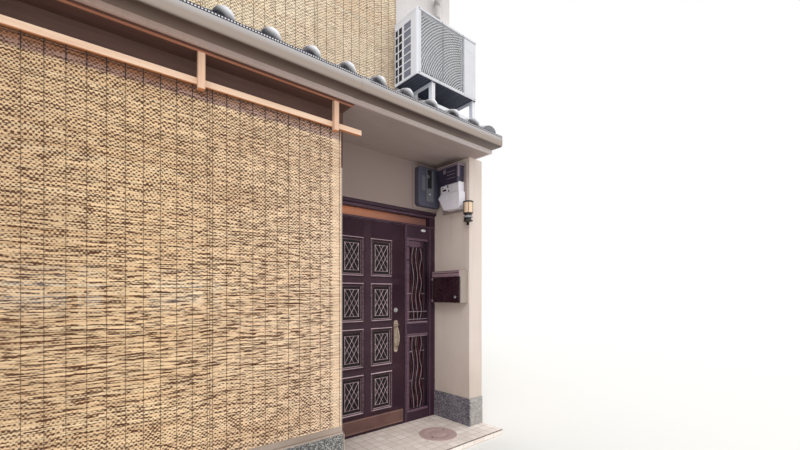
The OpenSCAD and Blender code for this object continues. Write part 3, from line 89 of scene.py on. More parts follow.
@dataclass(frozen=True)
class Plan:
    """The house's driving sizes, from its front left corner on the ground."""

    width: float = 4800
    middle_y: float = 4074
    body_y: float = 446
    back_y: float = 7726
    bay_x: float = 3170
    wall_head: float = 5050
    main_pitch: float = 0.45
    rafter: float = 75
    board: float = 15

    @property
    def origin(self) -> Array:
        """The frame's origin in the plan."""
        return np.array([self.width / 2, self.middle_y, 0])

    def metres(self, points: Array) -> Array:
        """Points of the plan as points of the frame."""
        return (points - self.origin) / 1000

    def measured(self, node: str) -> Array:
        """The lowest and highest corner of a CAD node, in the plan."""
        return np.array(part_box(node)) * 1000 + self.origin

    def x(self, x: float) -> float:
        """A distance along the street as the frame's x."""
        return (x - self.width / 2) / 1000

    def y(self, y: float) -> float:
        """A depth behind the bay's front as the frame's y."""
        return (y - self.middle_y) / 1000

    def main_top(self, y: float) -> float:
        """Height of the main roof's boards over a depth y of the front slope."""
        slope = math.cos(math.atan(self.main_pitch))
        return self.wall_head + self.main_pitch * (y - self.body_y) + (self.rafter + self.board) / slope

    @property
    def ridge_y(self) -> float:
        """Depth of the ridge."""
        return (self.body_y + self.back_y) / 2


PLAN = Plan()


# ---- surfaces

def at(x: Number, y: Number, z: Number) -> Array:
    """Points from their x, y and z, each a number or an array."""
    return np.stack(np.broadcast_arrays(x, y, z), axis=-1).astype(float)


def lattice(rows: int, ring: int, closed: bool = True) -> Array:
    """Quads between neighbouring rings of a grid of points.

    Args:
        rows: Number of rings.
        ring: Number of points in each ring.
        closed: Whether the last point of a ring joins the first.

    Returns:
        Indices, four to a face.
    """
    i, j = np.meshgrid(np.arange(rows - 1), np.arange(ring if closed else ring - 1), indexing="ij")
    k = (j + 1) % ring
    return np.stack([i * ring + j, i * ring + k, (i + 1) * ring + k, (i + 1) * ring + j], axis=-1).reshape(-1, 4)


def signed_volume(points: Array, faces: list[Array]) -> float:
    """Volume inside a shell: the sum of a . (b x c) / 6 over a fan of triangles in each face.

    Args:
        points: The shell's points.
        faces: Index arrays, one for each number of corners.

    Returns:
        The volume, below zero where the faces point inwards.
    """
    total = 0.0
    for face in faces:
        corner = points[face] - points.mean(axis=0)
        for k in range(1, face.shape[1] - 1):
            total += np.einsum("ij,ij->", corner[:, 0], np.cross(corner[:, k], corner[:, k + 1])) / 6
    return total


def circle(sides: int) -> Array:
    """Points round a circle of radius 1: (cos a, sin a) for angles a in even steps."""
    a = np.linspace(0, TURN, sides, endpoint=False)
    return np.stack([np.cos(a), np.sin(a)], axis=-1)


def revolve(profile: Array, axis: int, unit: Array) -> Array:
    """A profile of radius r and height h carried round an axis: r (cos a, sin a) + h.

    Args:
        profile: Points (k, 2) of radius and height.
        axis: Axis of the turning.
        unit: The unit circle's points.

    Returns:
        Rings of shape (k, sides, 3).
    """
    rings = np.zeros((len(profile), len(unit), 3))
    rings[..., axis] = profile[:, 1:]
    rings[..., (axis + 1) % 3] = profile[:, :1] * unit[:, 0]
    rings[..., (axis + 2) % 3] = profile[:, :1] * unit[:, 1]
    return rings


def chamfered_box() -> tuple[Array, Array, list[Array]]:
    """Template of a box with cut edges: each corner of the cube is split in three points.

    Returns:
        Corner signs, the axis along which each point stays at full size, and the faces.
    """
    signs = np.array([[x, y, z] for x in (-1, 1) for y in (-1, 1) for z in (-1, 1)], float)
    sign = np.repeat(signs, 3, axis=0)
    number = {(tuple(s), a): i for i, (s, a) in enumerate(zip(map(tuple, sign), [0, 1, 2] * 8))}
    quads, corners = [], []
    for a in range(3):
        for s in (-1.0, 1.0):
            def key(sb: float, sc: float, axis: int) -> int:
                """Number of the point at these signs on an axis."""
                v = [0.0, 0.0, 0.0]
                v[a], v[(a + 1) % 3], v[(a + 2) % 3] = s, sb, sc
                return number[(tuple(v), axis)]
            quad = [key(-1.0, -1.0, a), key(1.0, -1.0, a), key(1.0, 1.0, a), key(-1.0, 1.0, a)]
            quads.append(quad if s > 0 else quad[::-1])
            b = (a + 1) % 3
            for t in (-1.0, 1.0):
                edge = [key(t, -1.0, a), key(t, 1.0, a), key(t, 1.0, b), key(t, -1.0, b)]
                quads.append(edge if s * t < 0 else edge[::-1])
    for s in signs:
        tri = [number[(tuple(s), a)] for a in range(3)]
        corners.append(tri if np.prod(s) > 0 else tri[::-1])
    return sign, np.tile(np.eye(3), (8, 1)), [np.array(quads), np.array(corners)]


BOX_SIGN, BOX_FULL, BOX_FACES = chamfered_box()


@dataclass
class Form:
    """Closed shells collected into one mesh, with a tint and a grain direction at each point."""

    points: list[Array] = field(default_factory=list)
    faces: list[Array] = field(default_factory=list)
    tints: list[Array] = field(default_factory=list)
    grains: list[Array] = field(default_factory=list)
    count: int = 0

    def add(self, points: Array, faces: list[Array], tint: Number = 0.5, axis: int = 0) -> "Form":
        """Adds one shell, or copies of it that share their faces.

        Args:
            points: Points of shape (n, 3), or (copies, n, 3).
            faces: Index arrays into n, one for each number of corners.
            tint: One number, one for each copy, or one for each point.
            axis: Axis along which the grain runs.

        Returns:
            The form itself.
        """
        points = PLAN.metres(points)
        if points.ndim == 2:
            points = points[None]
        copies, n = points.shape[:2]
        flip = signed_volume(points[0], faces) < 0
        start = self.count + np.arange(copies)[:, None, None] * n
        for face in faces:
            face = face[:, ::-1] if flip else face
            self.faces.append((face[None] + start).reshape(-1, face.shape[1]))
        tint = np.asarray(tint, float)
        if tint.ndim == 1 and tint.shape[0] == copies:
            tint = tint[:, None]
        self.tints.append(np.broadcast_to(tint, (copies, n)).reshape(-1))
        grain = np.roll(points, -axis, axis=-1) + (np.arange(copies) * 1.37 + self.count * 0.0113)[:, None, None]
        self.grains.append(grain.reshape(-1, 3))
        self.points.append(points.reshape(-1, 3))
        self.count += copies * n
        return self

    def loft(self, rings: Array, tint: Number = 0.5, axis: int = 0) -> "Form":
        """A skin over closed rings, capped at both ends.

        Args:
            rings: Points of shape (rings, k, 3), or (copies, rings, k, 3).
            tint: As in add, or one number for each ring's point.
            axis: Axis along which the grain runs.

        Returns:
            The form itself.
        """
        if rings.ndim == 3:
            rings = rings[None]
        copies, rows, k = rings.shape[:3]
        caps = np.stack([np.arange(k)[::-1], (rows - 1) * k + np.arange(k)])
        return self.add(rings.reshape(copies, rows * k, 3), [lattice(rows, k), caps], tint, axis)

    def slab(self, x0: Number, x1: Number, y0: Number, y1: Number, z0: Number, z1: Number, cut: float = 1.0,
             tint: Number = 0.5, axis: int = 0) -> "Form":
        """Boxes with their edges cut off: centre + sign x (half size - cut off the two axes that aren't full).

        Args:
            x0: Left side, one number or one for each box, like the five after it.
            x1: Right side.
            y0: Front.
            y1: Back.
            z0: Foot.
            z1: Top.
            cut: Width of the cut edge.
            tint: One number, or one for each box.
            axis: Axis along which the grain runs.

        Returns:
            The form itself.
        """
        low, high = np.broadcast_arrays(np.atleast_2d(at(x0, y0, z0)), np.atleast_2d(at(x1, y1, z1)))
        half = np.abs(high - low) / 2
        edge = np.minimum(cut, half.min(axis=1) * 0.6)[:, None, None]
        offset = BOX_SIGN[None] * (half[:, None, :] - edge * (1 - BOX_FULL)[None])
        return self.add((low + high)[:, None, :] / 2 + offset, BOX_FACES, tint, axis)

    def slabs(self, boxes: tuple[tuple[Number, ...], ...], cut: float = 1.0, tint: Number = 0.5,
              axis: int = 0) -> "Form":
        """Several slabs with the same cut edge, tint and grain."""
        for box in boxes:
            self.slab(*box, cut, tint, axis)
        return self

    def prism(self, outline: Array, axis: int, start: float, end: float, cut: float = 0.0, tint: Number = 0.5,
              grain: int | None = None) -> "Form":
        """An outline run straight along an axis, its ends drawn in towards the middle by cut.

        Args:
            outline: Points (k, 2) in the other two axes, in their cyclic order.
            axis: Axis of the run.
            start: Where the run starts.
            end: Where it ends.
            cut: How far the ends are drawn in, and set back.
            tint: The shell's tint.
            grain: Axis of the grain, the run's own where not given.

        Returns:
            The form itself.
        """
        middle = (outline.max(axis=0) + outline.min(axis=0)) / 2
        reach = np.maximum((outline.max(axis=0) - outline.min(axis=0)) / 2, 1e-3)
        drawn = middle + (outline - middle) * (1 - np.minimum(cut / reach, 0.4))
        stations = [(start, outline), (end, outline)]
        if cut:
            stations = [(start, drawn), (start + cut, outline), (end - cut, outline), (end, drawn)]
        rings = np.zeros((len(stations), len(outline), 3))
        for i, (place, ring) in enumerate(stations):
            rings[i, :, axis] = place
            rings[i, :, (axis + 1) % 3] = ring[:, 0]
            rings[i, :, (axis + 2) % 3] = ring[:, 1]
        return self.loft(rings, tint, axis if grain is None else grain)

    def turned(self, profile: ArrayLike, centre: Array, axis: int = 2, sides: int = 24,
               tint: Number = 0.5) -> "Form":
        """A profile of radius and height turned about an axis.

        Args:
            profile: Points (k, 2) of radius and height, with every radius over zero.
            centre: One centre (3,), or centres (copies, 3).
            axis: Axis of the turning.
            sides: Number of points round.
            tint: The shell's tint.

        Returns:
            The form itself.
        """
        rings = revolve(np.array(profile, float), axis, circle(sides))
        return self.loft(np.atleast_2d(centre)[:, None, None, :] + rings[None], tint, axis)

    def tube(self, path: Array, radius: Number, sides: int = 8, tint: Number = 0.5, axis: int = 0,
             flat: float = 1.0, up: tuple[float, float, float] = (0.0, 1.0, 0.0)) -> "Form":
        """A round bar along a path: path + r (cos a side + sin a normal), side = tangent x up.

        Args:
            path: Points (m, 3), or (copies, m, 3).
            radius: One radius, or one for each point of the path.
            sides: Number of points round.
            tint: The shell's tint.
            axis: Axis along which the grain runs.
            flat: Ratio of the bar's thickness along up to its width.
            up: Direction that the path never runs along.

        Returns:
            The form itself.
        """
        if path.ndim == 2:
            path = path[None]
        tangent = np.gradient(path, axis=1)
        tangent /= np.linalg.norm(tangent, axis=-1, keepdims=True)
        side = np.cross(tangent, up)
        side /= np.maximum(np.linalg.norm(side, axis=-1, keepdims=True), 1e-9)
        normal = np.cross(side, tangent)
        unit = circle(sides)
        r = np.broadcast_to(np.asarray(radius, float), path.shape[:2])[..., None, None]
        rings = path[:, :, None, :] + r * (unit[:, 0, None] * side[:, :, None, :]
                                           + flat * unit[:, 1, None] * normal[:, :, None, :])
        return self.loft(rings, tint, axis)

    def relief(self, grid: Array, depth: tuple[float, float, float], tint: Number = 0.5) -> "Form":
        """A carved face with plain sides and back: the grid, its border set back by depth, and one flat back.

        Args:
            grid: Points (rows, columns, 3).
            depth: Vector from the border to the back's plane; its own axis is flattened there.
            tint: One number, or one for each point of the grid.

        Returns:
            The form itself.
        """
        m, n = grid.shape[:2]
        index = np.arange(m * n).reshape(m, n)
        border = np.concatenate([index[0], index[1:, -1], index[-1, -2::-1], index[-2:0:-1, 0]])
        flat = grid.reshape(m * n, 3)
        back = flat[border] + depth
        k = int(np.argmax(np.abs(depth)))
        back[:, k] = back[:, k].mean()
        b = m * n + np.arange(len(border))
        skirt = np.stack([border, np.roll(border, -1), np.roll(b, -1), b], axis=-1)
        tint = np.asarray(tint, float)
        if tint.ndim:
            tint = np.concatenate([tint.reshape(-1), tint.reshape(-1)[border]])[None]
        faces = [np.concatenate([lattice(m, n, closed=False), skirt[:, ::-1]]), b[None, :]]
        return self.add(np.concatenate([flat, back]), faces, tint)

    def piece(self, name: str, finish: str, slot: str, replaces: tuple[str, ...] = (), body: str = HOUSE,
              crease: float = 35.0) -> None:
        """Makes the mesh, and hangs it on its body.

        Args:
            name: The piece's name.
            finish: Its finish.
            slot: The record's material slot; not used.
            replaces: CAD nodes that it stands for.
            body: The CAD body that carries it.
            crease: Angle in degrees from which an edge is sharp.
        """
        mesh = bpy.data.meshes.new(name)
        points = np.concatenate(self.points).astype(np.float32)
        sizes = np.concatenate([np.full(len(f), f.shape[1]) for f in self.faces])
        corners = np.concatenate([f.reshape(-1) for f in self.faces]).astype(np.int32)
        mesh.vertices.add(len(points))
        mesh.vertices.foreach_set("co", points.ravel())
        mesh.loops.add(len(corners))
        mesh.loops.foreach_set("vertex_index", corners)
        mesh.polygons.add(len(sizes))
        mesh.polygons.foreach_set("loop_start", np.concatenate([[0], np.cumsum(sizes)[:-1]]).astype(np.int32))
        mesh.update(calc_edges=True)
        for key, kind, field_name, rows in (("tint", "FLOAT", "value", self.tints),
                                            ("grain", "FLOAT_VECTOR", "vector", self.grains)):
            values = np.concatenate(rows).astype(np.float32).ravel()
            mesh.attributes.new(key, kind, "POINT").data.foreach_set(field_name, values)
        mesh.shade_smooth()
        mesh.set_sharp_from_angle(angle=math.radians(crease))
        mesh.validate()
        mesh.materials.append(FINISHES[finish])
        made = bpy.data.objects.new(name, mesh)
        bpy.context.scene.collection.objects.link(made)
        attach(made, body)
        if replaces:
            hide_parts(*replaces)
        LOG.info("%s: %d points, %d faces, on %s", name, len(points), len(sizes), body)


# ---- finishes

def tone(red: float, green: float, blue: float) -> Tone:
    """A colour from 0 to 255 as seen, in the linear values that the shader takes."""
    seen = np.array([red, green, blue]) / 255
    linear = np.where(seen <= 0.04045, seen / 12.92, ((seen + 0.055) / 1.055) ** 2.4)
    return tuple(float(v) for v in linear)


class Value:
    """One output of a node, on which arithmetic adds further nodes."""

    def __init__(self, nodes: "Nodes", socket: bpy.types.NodeSocket) -> None:
        """Holds the output and the tree that it belongs to."""
        self.nodes, self.socket = nodes, socket

    def __add__(self, other: "Value | float") -> "Value":
        """The sum."""
        return self.nodes.math("ADD", self, other)

    def __sub__(self, other: "Value | float") -> "Value":
        """The difference."""
        return self.nodes.math("SUBTRACT", self, other)

    def __rsub__(self, other: float) -> "Value":
        """A number less this value."""
        return self.nodes.math("SUBTRACT", other, self)

    def __mul__(self, other: "Value | float") -> "Value":
        """The product."""
        return self.nodes.math("MULTIPLY", self, other)

    def part(self, axis: str) -> "Value":
        """One axis of a vector."""
        node = self.nodes.node("SeparateXYZ", {0: self})
        return Value(self.nodes, node.outputs[axis])

    def span(self, low: float, high: float, out_low: float = 0.0, out_high: float = 1.0) -> "Value":
        """Maps the value from one span to another, and holds it inside."""
        node = self.nodes.node("MapRange", {
            "Value": self, "From Min": low, "From Max": high, "To Min": out_low, "To Max": out_high})
        return Value(self.nodes, node.outputs["Result"])


class Nodes:
    """A node tree, with a short method for each kind of node that finishes and light use."""

    def __init__(self, tree: bpy.types.NodeTree) -> None:
        """Empties a tree and takes it over."""
        self.tree = tree
        tree.nodes.clear()

    def node(self, kind: str, inputs: dict[str | int, object]) -> bpy.types.Node:
        """Adds a node, and links or sets its inputs.

        Args:
            kind: The node's type after ShaderNode.
            inputs: A value, number, colour or vector for each input's name or number.

        Returns:
            The node.
        """
        node = self.tree.nodes.new("ShaderNode" + kind)
        for key, value in inputs.items():
            socket = node.inputs[key]
            if isinstance(value, Value):
                self.tree.links.new(value.socket, socket)
            elif socket.type == "RGBA":
                socket.default_value = (*value, 1.0)
            else:
                socket.default_value = value
        return node

    def math(self, kind: str, a: Value | float, b: Value | float = 0.5) -> Value:
        """One step of arithmetic, such as ADD or SINE."""
        node = self.node("Math", {0: a, 1: b})
        node.operation = kind
        return Value(self, node.outputs[0])


class Recipe(Nodes):
    """One material's node tree."""

    def __init__(self, name: str) -> None:
        """Starts a material of that name."""
        self.material = bpy.data.materials.new(name)
        self.material.use_nodes = True
        super().__init__(self.material.node_tree)

    def read(self, name: str, output: str) -> Value:
        """An attribute of the mesh."""
        node = self.node("Attribute", {})
        node.attribute_name = name
        return Value(self, node.outputs[output])

    def place(self, scale: Tone = (1, 1, 1), grain: bool = False) -> Value:
        """Where a point lies, on the object or along its grain, stretched by a scale for each axis.

        Args:
            scale: Stretch of each axis.
            grain: Whether the place is taken along the grain.

        Returns:
            The place, a vector.
        """
        if grain:
            vector = self.read("grain", "Vector")
        else:
            vector = Value(self, self.node("TexCoord", {}).outputs["Object"])
        return Value(self, self.node("Mapping", {"Vector": vector, "Scale": scale}).outputs["Vector"])

    def tint(self) -> Value:
        """The piece's own tint, from 0 to 1."""
        return self.read("tint", "Fac")

    def noise(self, vector: Value, scale: float, detail: float = 4.0, rough: float = 0.55, bend: float = 0.0) -> Value:
        """Cloudy noise about 0.5.

        Args:
            vector: Where a point lies.
            scale: Number of patches to the metre.
            detail: Number of finer layers.
            rough: Strength of the finer layers.
            bend: How far the patches are bent.

        Returns:
            The noise.
        """
        node = self.node("TexNoise", {
            "Vector": vector, "Scale": scale, "Detail": detail, "Roughness": rough, "Distortion": bend})
        return Value(self, node.outputs["Fac"])

    def cells(self, vector: Value, scale: float, output: str) -> Value:
        """Cells such as pebbles, with their distance from the middle or a colour each."""
        return Value(self, self.node("TexVoronoi", {"Vector": vector, "Scale": scale}).outputs[output])

    def ramp(self, value: Value, *stops: tuple[float, Tone]) -> Value:
        """A colour for each value.

        Args:
            value: The value.
            *stops: Places from 0 to 1, and the colour at each.

        Returns:
            The colour.
        """
        node = self.node("ValToRGB", {"Fac": value})
        elements = node.color_ramp.elements
        while len(elements) < len(stops):
            elements.new(0.5)
        for element, (place, colour) in zip(elements, stops):
            element.position = place
            element.color = (*colour, 1.0)
        return Value(self, node.outputs["Color"])

    def mix(self, share: Value | float, a: Value | Tone, b: Value | Tone, kind: str = "MIX") -> Value:
        """Two colours mixed.

        Args:
            share: Share of the second one.
            a: First colour.
            b: Second colour.
            kind: Way of mixing, such as MULTIPLY.

        Returns:
            The colour.
        """
        node = self.tree.nodes.new("ShaderNodeMix")
        node.data_type = "RGBA"
        node.blend_type = kind
        for key, value in ((0, share), (6, a), (7, b)):
            if isinstance(value, Value):
                self.tree.links.new(value.socket, node.inputs[key])
            else:
                node.inputs[key].default_value = (*value, 1.0) if key else value
        return Value(self, node.outputs[2])

    def facing(self, way: float = 1.0, start: float = 0.2, axis: str = "Z") -> Value:
        """How far a face looks along an axis (way 1) or against it (way -1) past a start, from 0 to 1."""
        normal = Value(self, self.node("NewGeometry", {}).outputs["Normal"])
        return normal.part(axis).span(start * way, 0.95 * way)

    def finish(self, colour: Value | Tone, rough: Value | float, height: Value | None = None, depth: float = 0.001,
               **others: float) -> Material:
        """Adds the shader and returns the material.

        Args:
            colour: Base colour.
            rough: Roughness.
            height: Height of the bump, from 0 to 1.
            depth: The bump's depth in metres.
            **others: Further numbers by the shader's socket names, with _ for a space.

        Returns:
            The finished material.
        """
        inputs = {"Base Color": colour, "Roughness": rough}
        inputs.update({key.replace("_", " "): value for key, value in others.items()})
        if height is not None:
            bump = self.node("Bump", {"Distance": depth, "Height": height})
            inputs["Normal"] = Value(self, bump.outputs["Normal"])
        shader = self.node("BsdfPrincipled", inputs)
        self.node("OutputMaterial", {"Surface": Value(self, shader.outputs["BSDF"])})
        return self.material


class Run(Enum):
    """Which way a board's grain runs, as the stretch of its noise on each axis."""

    ALONG_X = (2.0, 45.0, 45.0)
    ALONG_Y = (45.0, 2.0, 45.0)
    OWN = (2.0, 50.0, 50.0)


@dataclass(frozen=True)
class Plaster:
    """Trowelled lime plaster with sand in it, a little uneven, and splashed near the ground."""

    name: str
    colour: Tone
    soiled: Tone
    above: Tone | None = None

    def make(self) -> Material:
        """Returns the material, with its nodes."""
        r = Recipe(self.name)
        here = r.place()
        cloud, sand = r.noise(here, 1.7, 5), r.noise(here, 420, 3, 0.7)
        trowel = r.noise(r.place((1, 1, 0.6)), 9, 4, 0.6)
        streak = r.noise(r.place((16, 16, 0.7)), 1.0, 4, 0.6)
        main = self.colour
        # Painted light and shade: above 2.9 m, faces that look to the street take a paler colour than the other faces.
        if self.above:
            high = r.mix(r.facing(-1.0, 0.5, "Y"), self.above, tone(252, 249, 250))
            main = r.mix(here.part("Z").span(2.85, 2.95), main, high)
        colour = r.mix(cloud.span(0.3, 0.75, 0.0, 0.4), main, r.mix(0.5, main, self.soiled))
        colour = r.mix(streak.span(0.56, 0.8, 0.0, 0.35), colour, self.soiled)
        splash = here.part("Z").span(0.9, 0.25) * cloud.span(0.3, 0.7, 0.1, 0.7)
        colour = r.mix(splash, colour, self.soiled)
        colour = r.mix(sand.span(0.35, 0.7, 0.0, 0.12), colour, tone(90, 80, 70))
        return r.finish(colour, cloud.span(0.3, 0.7, 0.82, 0.95), sand * 0.35 + trowel, 0.0022)


@dataclass(frozen=True)
class PebbleDash:
    """Crushed grey stone washed out of its mortar."""

    name: str
    size: float = 0.006

    def make(self) -> Material:
        """Returns the material, with its nodes."""
        r = Recipe(self.name)
        here = r.place()
        shade = r.ramp(r.cells(here, 1 / self.size, "Color").part("X"), (0.0, tone(44, 43, 46)),
                       (0.35, tone(104, 103, 106)), (0.7, tone(162, 162, 160)), (1.0, tone(232, 230, 224)))
        edge = r.cells(here, 1 / self.size, "Distance")
        colour = r.mix(edge.span(0.45, 0.75), shade, tone(92, 92, 88))
        colour = r.mix(r.noise(here, 5, 4).span(0.45, 0.75, 0.0, 0.5), colour, tone(70, 72, 72))
        # Painted shade: faces that look along -X are darkened and turned bluer.
        colour = r.mix(r.facing(-1.0, 0.2, "X"), colour, tone(216, 208, 228), "MULTIPLY")
        # Painted light: the pillar's front, past x 4612 mm, takes a lighter colour.
        pillar_front_light = here.part("X").span(PLAN.x(4612), PLAN.x(4622), 0.0, 0.3)
        colour = r.mix(pillar_front_light, colour, tone(222, 214, 208))
        return r.finish(colour, 0.85, 1.0 - edge, 0.0025)


@dataclass(frozen=True)
class SmokedTile:
    """Smoked clay tile: silver grey, each one a little different, with a dull metallic sheen; painted shade below,
    painted light on top.
    """

    name: str
    dark: Tone
    light: Tone
    painted_light: float = 0.62
    gloss: float = 0.5

    def make(self) -> Material:
        """Returns the material, with its nodes."""
        r = Recipe(self.name)
        here = r.place()
        patch = r.noise(here, 14, 5, 0.6)
        colour = r.ramp(r.tint() * 0.6 + patch * 0.4, (0.15, self.dark), (0.85, self.light))
        lichen = r.noise(here, 33, 6, 0.7).span(0.62, 0.75, 0.0, 0.45)
        colour = r.mix(lichen * r.facing(), colour, tone(126, 126, 112))
        # Painted shade on faces that look down, and pale painted light on faces that look up.
        colour = r.mix(r.facing(-1.0, -0.1), colour, self.dark, "MULTIPLY")
        colour = r.mix(r.facing() * self.painted_light, colour, tone(226, 226, 232))
        height = r.noise(here, 260, 3, 0.6) + patch * 1.5
        return r.finish(colour, patch.span(0.3, 0.7, 0.34, 0.55), height, 0.0006, Metallic=0.1,
                        Specular_IOR_Level=self.gloss)


@dataclass(frozen=True)
class ReedSkin:
    """Dry reed: straw with darker stalks, joints and weathered patches."""

    name: str
    flecks: float = 1.0
    top_band: float = 0.0

    def make(self) -> Material:
        """Returns the material: each reed's tint and the fibres along it, darkened by the weave."""
        r = Recipe(self.name)
        here = r.place()
        streak = r.noise(r.place((9, 900, 900), True), 1.0, 3, 0.6)
        colour = r.ramp(r.tint() * 0.7 + streak * 0.3, (0.1, tone(160, 124, 84)), (0.3, tone(226, 188, 144)),
                        (0.55, tone(252, 224, 182)), (0.85, tone(255, 244, 214)))
        # Over the top band the reeds turn violet-grey, and in the band nearest the rail orange-brown, which is painted
        # shade of the rail.
        if self.top_band:
            height = here.part("Z")
            colour = r.mix(height.span(self.top_band - 0.003, self.top_band + 0.003, 0.0, 0.85), colour, tone(164, 128, 122))
            colour = r.mix(height.span(self.top_band + 0.022, self.top_band + 0.042, 0.0, 0.9), colour, tone(158, 104, 66))
        across = here.part("X").span(PLAN.x(1500), PLAN.x(3000), 0.14, -0.34)
        colour = r.mix(r.math("MAXIMUM", across, 0.0), colour, tone(120, 84, 60))
        colour = r.mix(r.math("MAXIMUM", across * -1.0, 0.0), colour, tone(255, 236, 222))
        dark = self.weave(r, here)
        if self.top_band:
            dark = dark * here.part("X").span(PLAN.x(3026), PLAN.x(3032), 1.0, 0.45)
        colour = r.mix(dark, colour, tone(94, 54, 26))
        stain = r.noise(r.place((1.1, 1.1, 2.2)), 2.0, 4, 0.6).span(0.4, 0.75, 0.0, 0.25)
        colour = r.mix(stain, colour, tone(196, 164, 128), "MULTIPLY")
        return r.finish(colour, streak.span(0.3, 0.7, 0.5, 0.7), streak, 0.0003)

    def weave(self, r: Recipe, here: Value) -> Value:
        """The dark gaps: one wave across times one up, whose phases wander, and broken streaks where they don't cross.

        Args:
            r: The finish's recipe.
            here: Where a point lies.

        Returns:
            How dark a point is, from 0 to 1.
        """
        # The period across grows with the distance from a point on the left, so that the weave opens to the right
        opened = r.math("LOGARITHM", here.part("X") - PLAN.x(-1561), math.e)
        across, up = (
            r.math("SINE", run * (TURN / period) + r.noise(here, drift, 3, 0.6) * turn)
            for run, period, drift, turn in ((opened, 0.006, 1.7, 30.0), (here.part("Z"), 0.0215, 2.1, 34.0)))
        crossed = r.math("MAXIMUM", here.part("Z").span(1.25, 2.1, 0.2, 1.0), here.part("Z").span(0.95, 0.6, 0.2, 0.8))
        weave = (across * crossed * 0.24 + crossed.span(0.0, 1.0, 0.09, 0.05)) * up
        broken = r.noise(r.place((5, 5, 190)), 1.0, 3, 0.7, 0.3).span(0.2, 0.8, -0.36, 0.36)
        weave = weave + broken * crossed.span(0.0, 1.0, 1.0, 0.3)
        fleck = r.noise(r.place((18, 18, 170)), 1.0, 2, 0.6) + weave
        return fleck.span(0.468, 0.62, 0.0, self.flecks)


@dataclass(frozen=True)
class Timber:
    """Sawn or planed wood, with its grain along one axis or along each piece's own."""

    name: str
    dark: Tone
    light: Tone
    run: Run = Run.OWN
    rough: float = 0.6
    boards: float = 0.0
    painted_bay_shade: Tone | None = None
    under: Tone | None = None

    def make(self) -> Material:
        """Returns the material, with its nodes."""
        r = Recipe(self.name)
        own = self.run is Run.OWN
        vector = r.place(self.run.value, own)
        rings, pores = r.noise(vector, 1.0, 5, 0.6, 0.6), r.noise(vector, 7.0, 3, 0.7)
        share = rings * 0.7 + pores * 0.3
        if own:
            share = share + r.tint().span(0.0, 1.0, -0.18, 0.18)
        colour = r.ramp(share, (0.3, self.dark), (0.7, self.light))
        colour = r.mix(r.noise(r.place(), 2.2, 4).span(0.4, 0.75, 0.0, 0.3), colour, self.dark)
        height = rings + pores
        if self.boards:
            across = "Y" if self.run is Run.ALONG_X else "X"
            saw = r.math("FRACT", r.math("DIVIDE", r.place().part(across), self.boards))
            joint = r.math("ABSOLUTE", saw - 0.5).span(0.485, 0.497)
            colour = r.mix(joint * 0.85, colour, tone(30, 22, 18))
            height = height - joint * 4.0
        # Painted shade: over the bay, left of its edge, the boards take a darker colour.
        if self.painted_bay_shade:
            edge = PLAN.x(PLAN.bay_x)
            bay = r.place().part("X").span(edge - 0.002, edge + 0.002, 1.0, 0.0)
            colour = r.mix(bay, colour, r.mix(rings, self.painted_bay_shade, tuple(0.6 * c for c in self.painted_bay_shade)))
        # Painted shade: faces that look down take the underside colour.
        if self.under:
            colour = r.mix(r.facing(-1.0), colour, self.under)
        return r.finish(colour, rings.span(0.3, 0.7, self.rough, self.rough + 0.15), height, 0.0006)


@dataclass(frozen=True)
class Enamel:
    """Painted sheet or moulded plastic: even, with faint mottling, fine orange peel, dust, grime, and where set painted
    light and shade.
    """

    name: str
    colour: Tone
    rough: float = 0.35
    dust: float = 0.35
    metal: float = 0.0
    grime_and_shade: Tone = (0.12, 0.105, 0.085)
    under: float = 0.0
    side: Tone | None = None
    far: Tone | None = None

    def make(self) -> Material:
        """Returns the material, with its nodes."""
        r = Recipe(self.name)
        here = r.place()
        cloud = r.noise(here, 6, 4)
        speck = r.noise(here, 90, 5, 0.75)
        streak = r.noise(r.place((38, 38, 1.6)), 1.0, 4, 0.65)
        colour = self.colour
        for share in (cloud.span(0.3, 0.75, 0.0, 0.12), streak.span(0.55, 0.8, 0.0, 0.25),
                      speck.span(0.66, 0.76, 0.0, 0.3)):
            colour = r.mix(share, colour, self.grime_and_shade)
        settled = r.facing() * cloud.span(0.25, 0.7, self.dust * 0.4, self.dust)
        colour = r.mix(settled, colour, tone(170, 162, 148))
        if self.far:
            colour = r.mix(here.part("X").span(PLAN.x(1600), PLAN.x(4400)), colour, self.far)
        # Painted light: faces that look along -X take the paler side colour.
        if self.side:
            colour = r.mix(r.facing(-1.0, 0.2, "X"), colour, self.side)
        # Lower down the pent gutter's face the colour turns warmer and darker; faces that look down take the dark grime
        # colour as painted shade, more towards the front.
        if self.under:
            colour = r.mix(here.part("Z").span(2.806, 2.768), colour, tone(152, 138, 128))
            front = here.part("Y").span(PLAN.y(-290), PLAN.y(-200), self.under, self.under * 0.5)
            colour = r.mix(r.facing(-1.0, 0.62) * front, colour, self.grime_and_shade)
        return r.finish(colour, cloud.span(0.3, 0.7, self.rough, self.rough + 0.14), r.noise(here, 600, 2), 0.00015,
                        Metallic=self.metal)


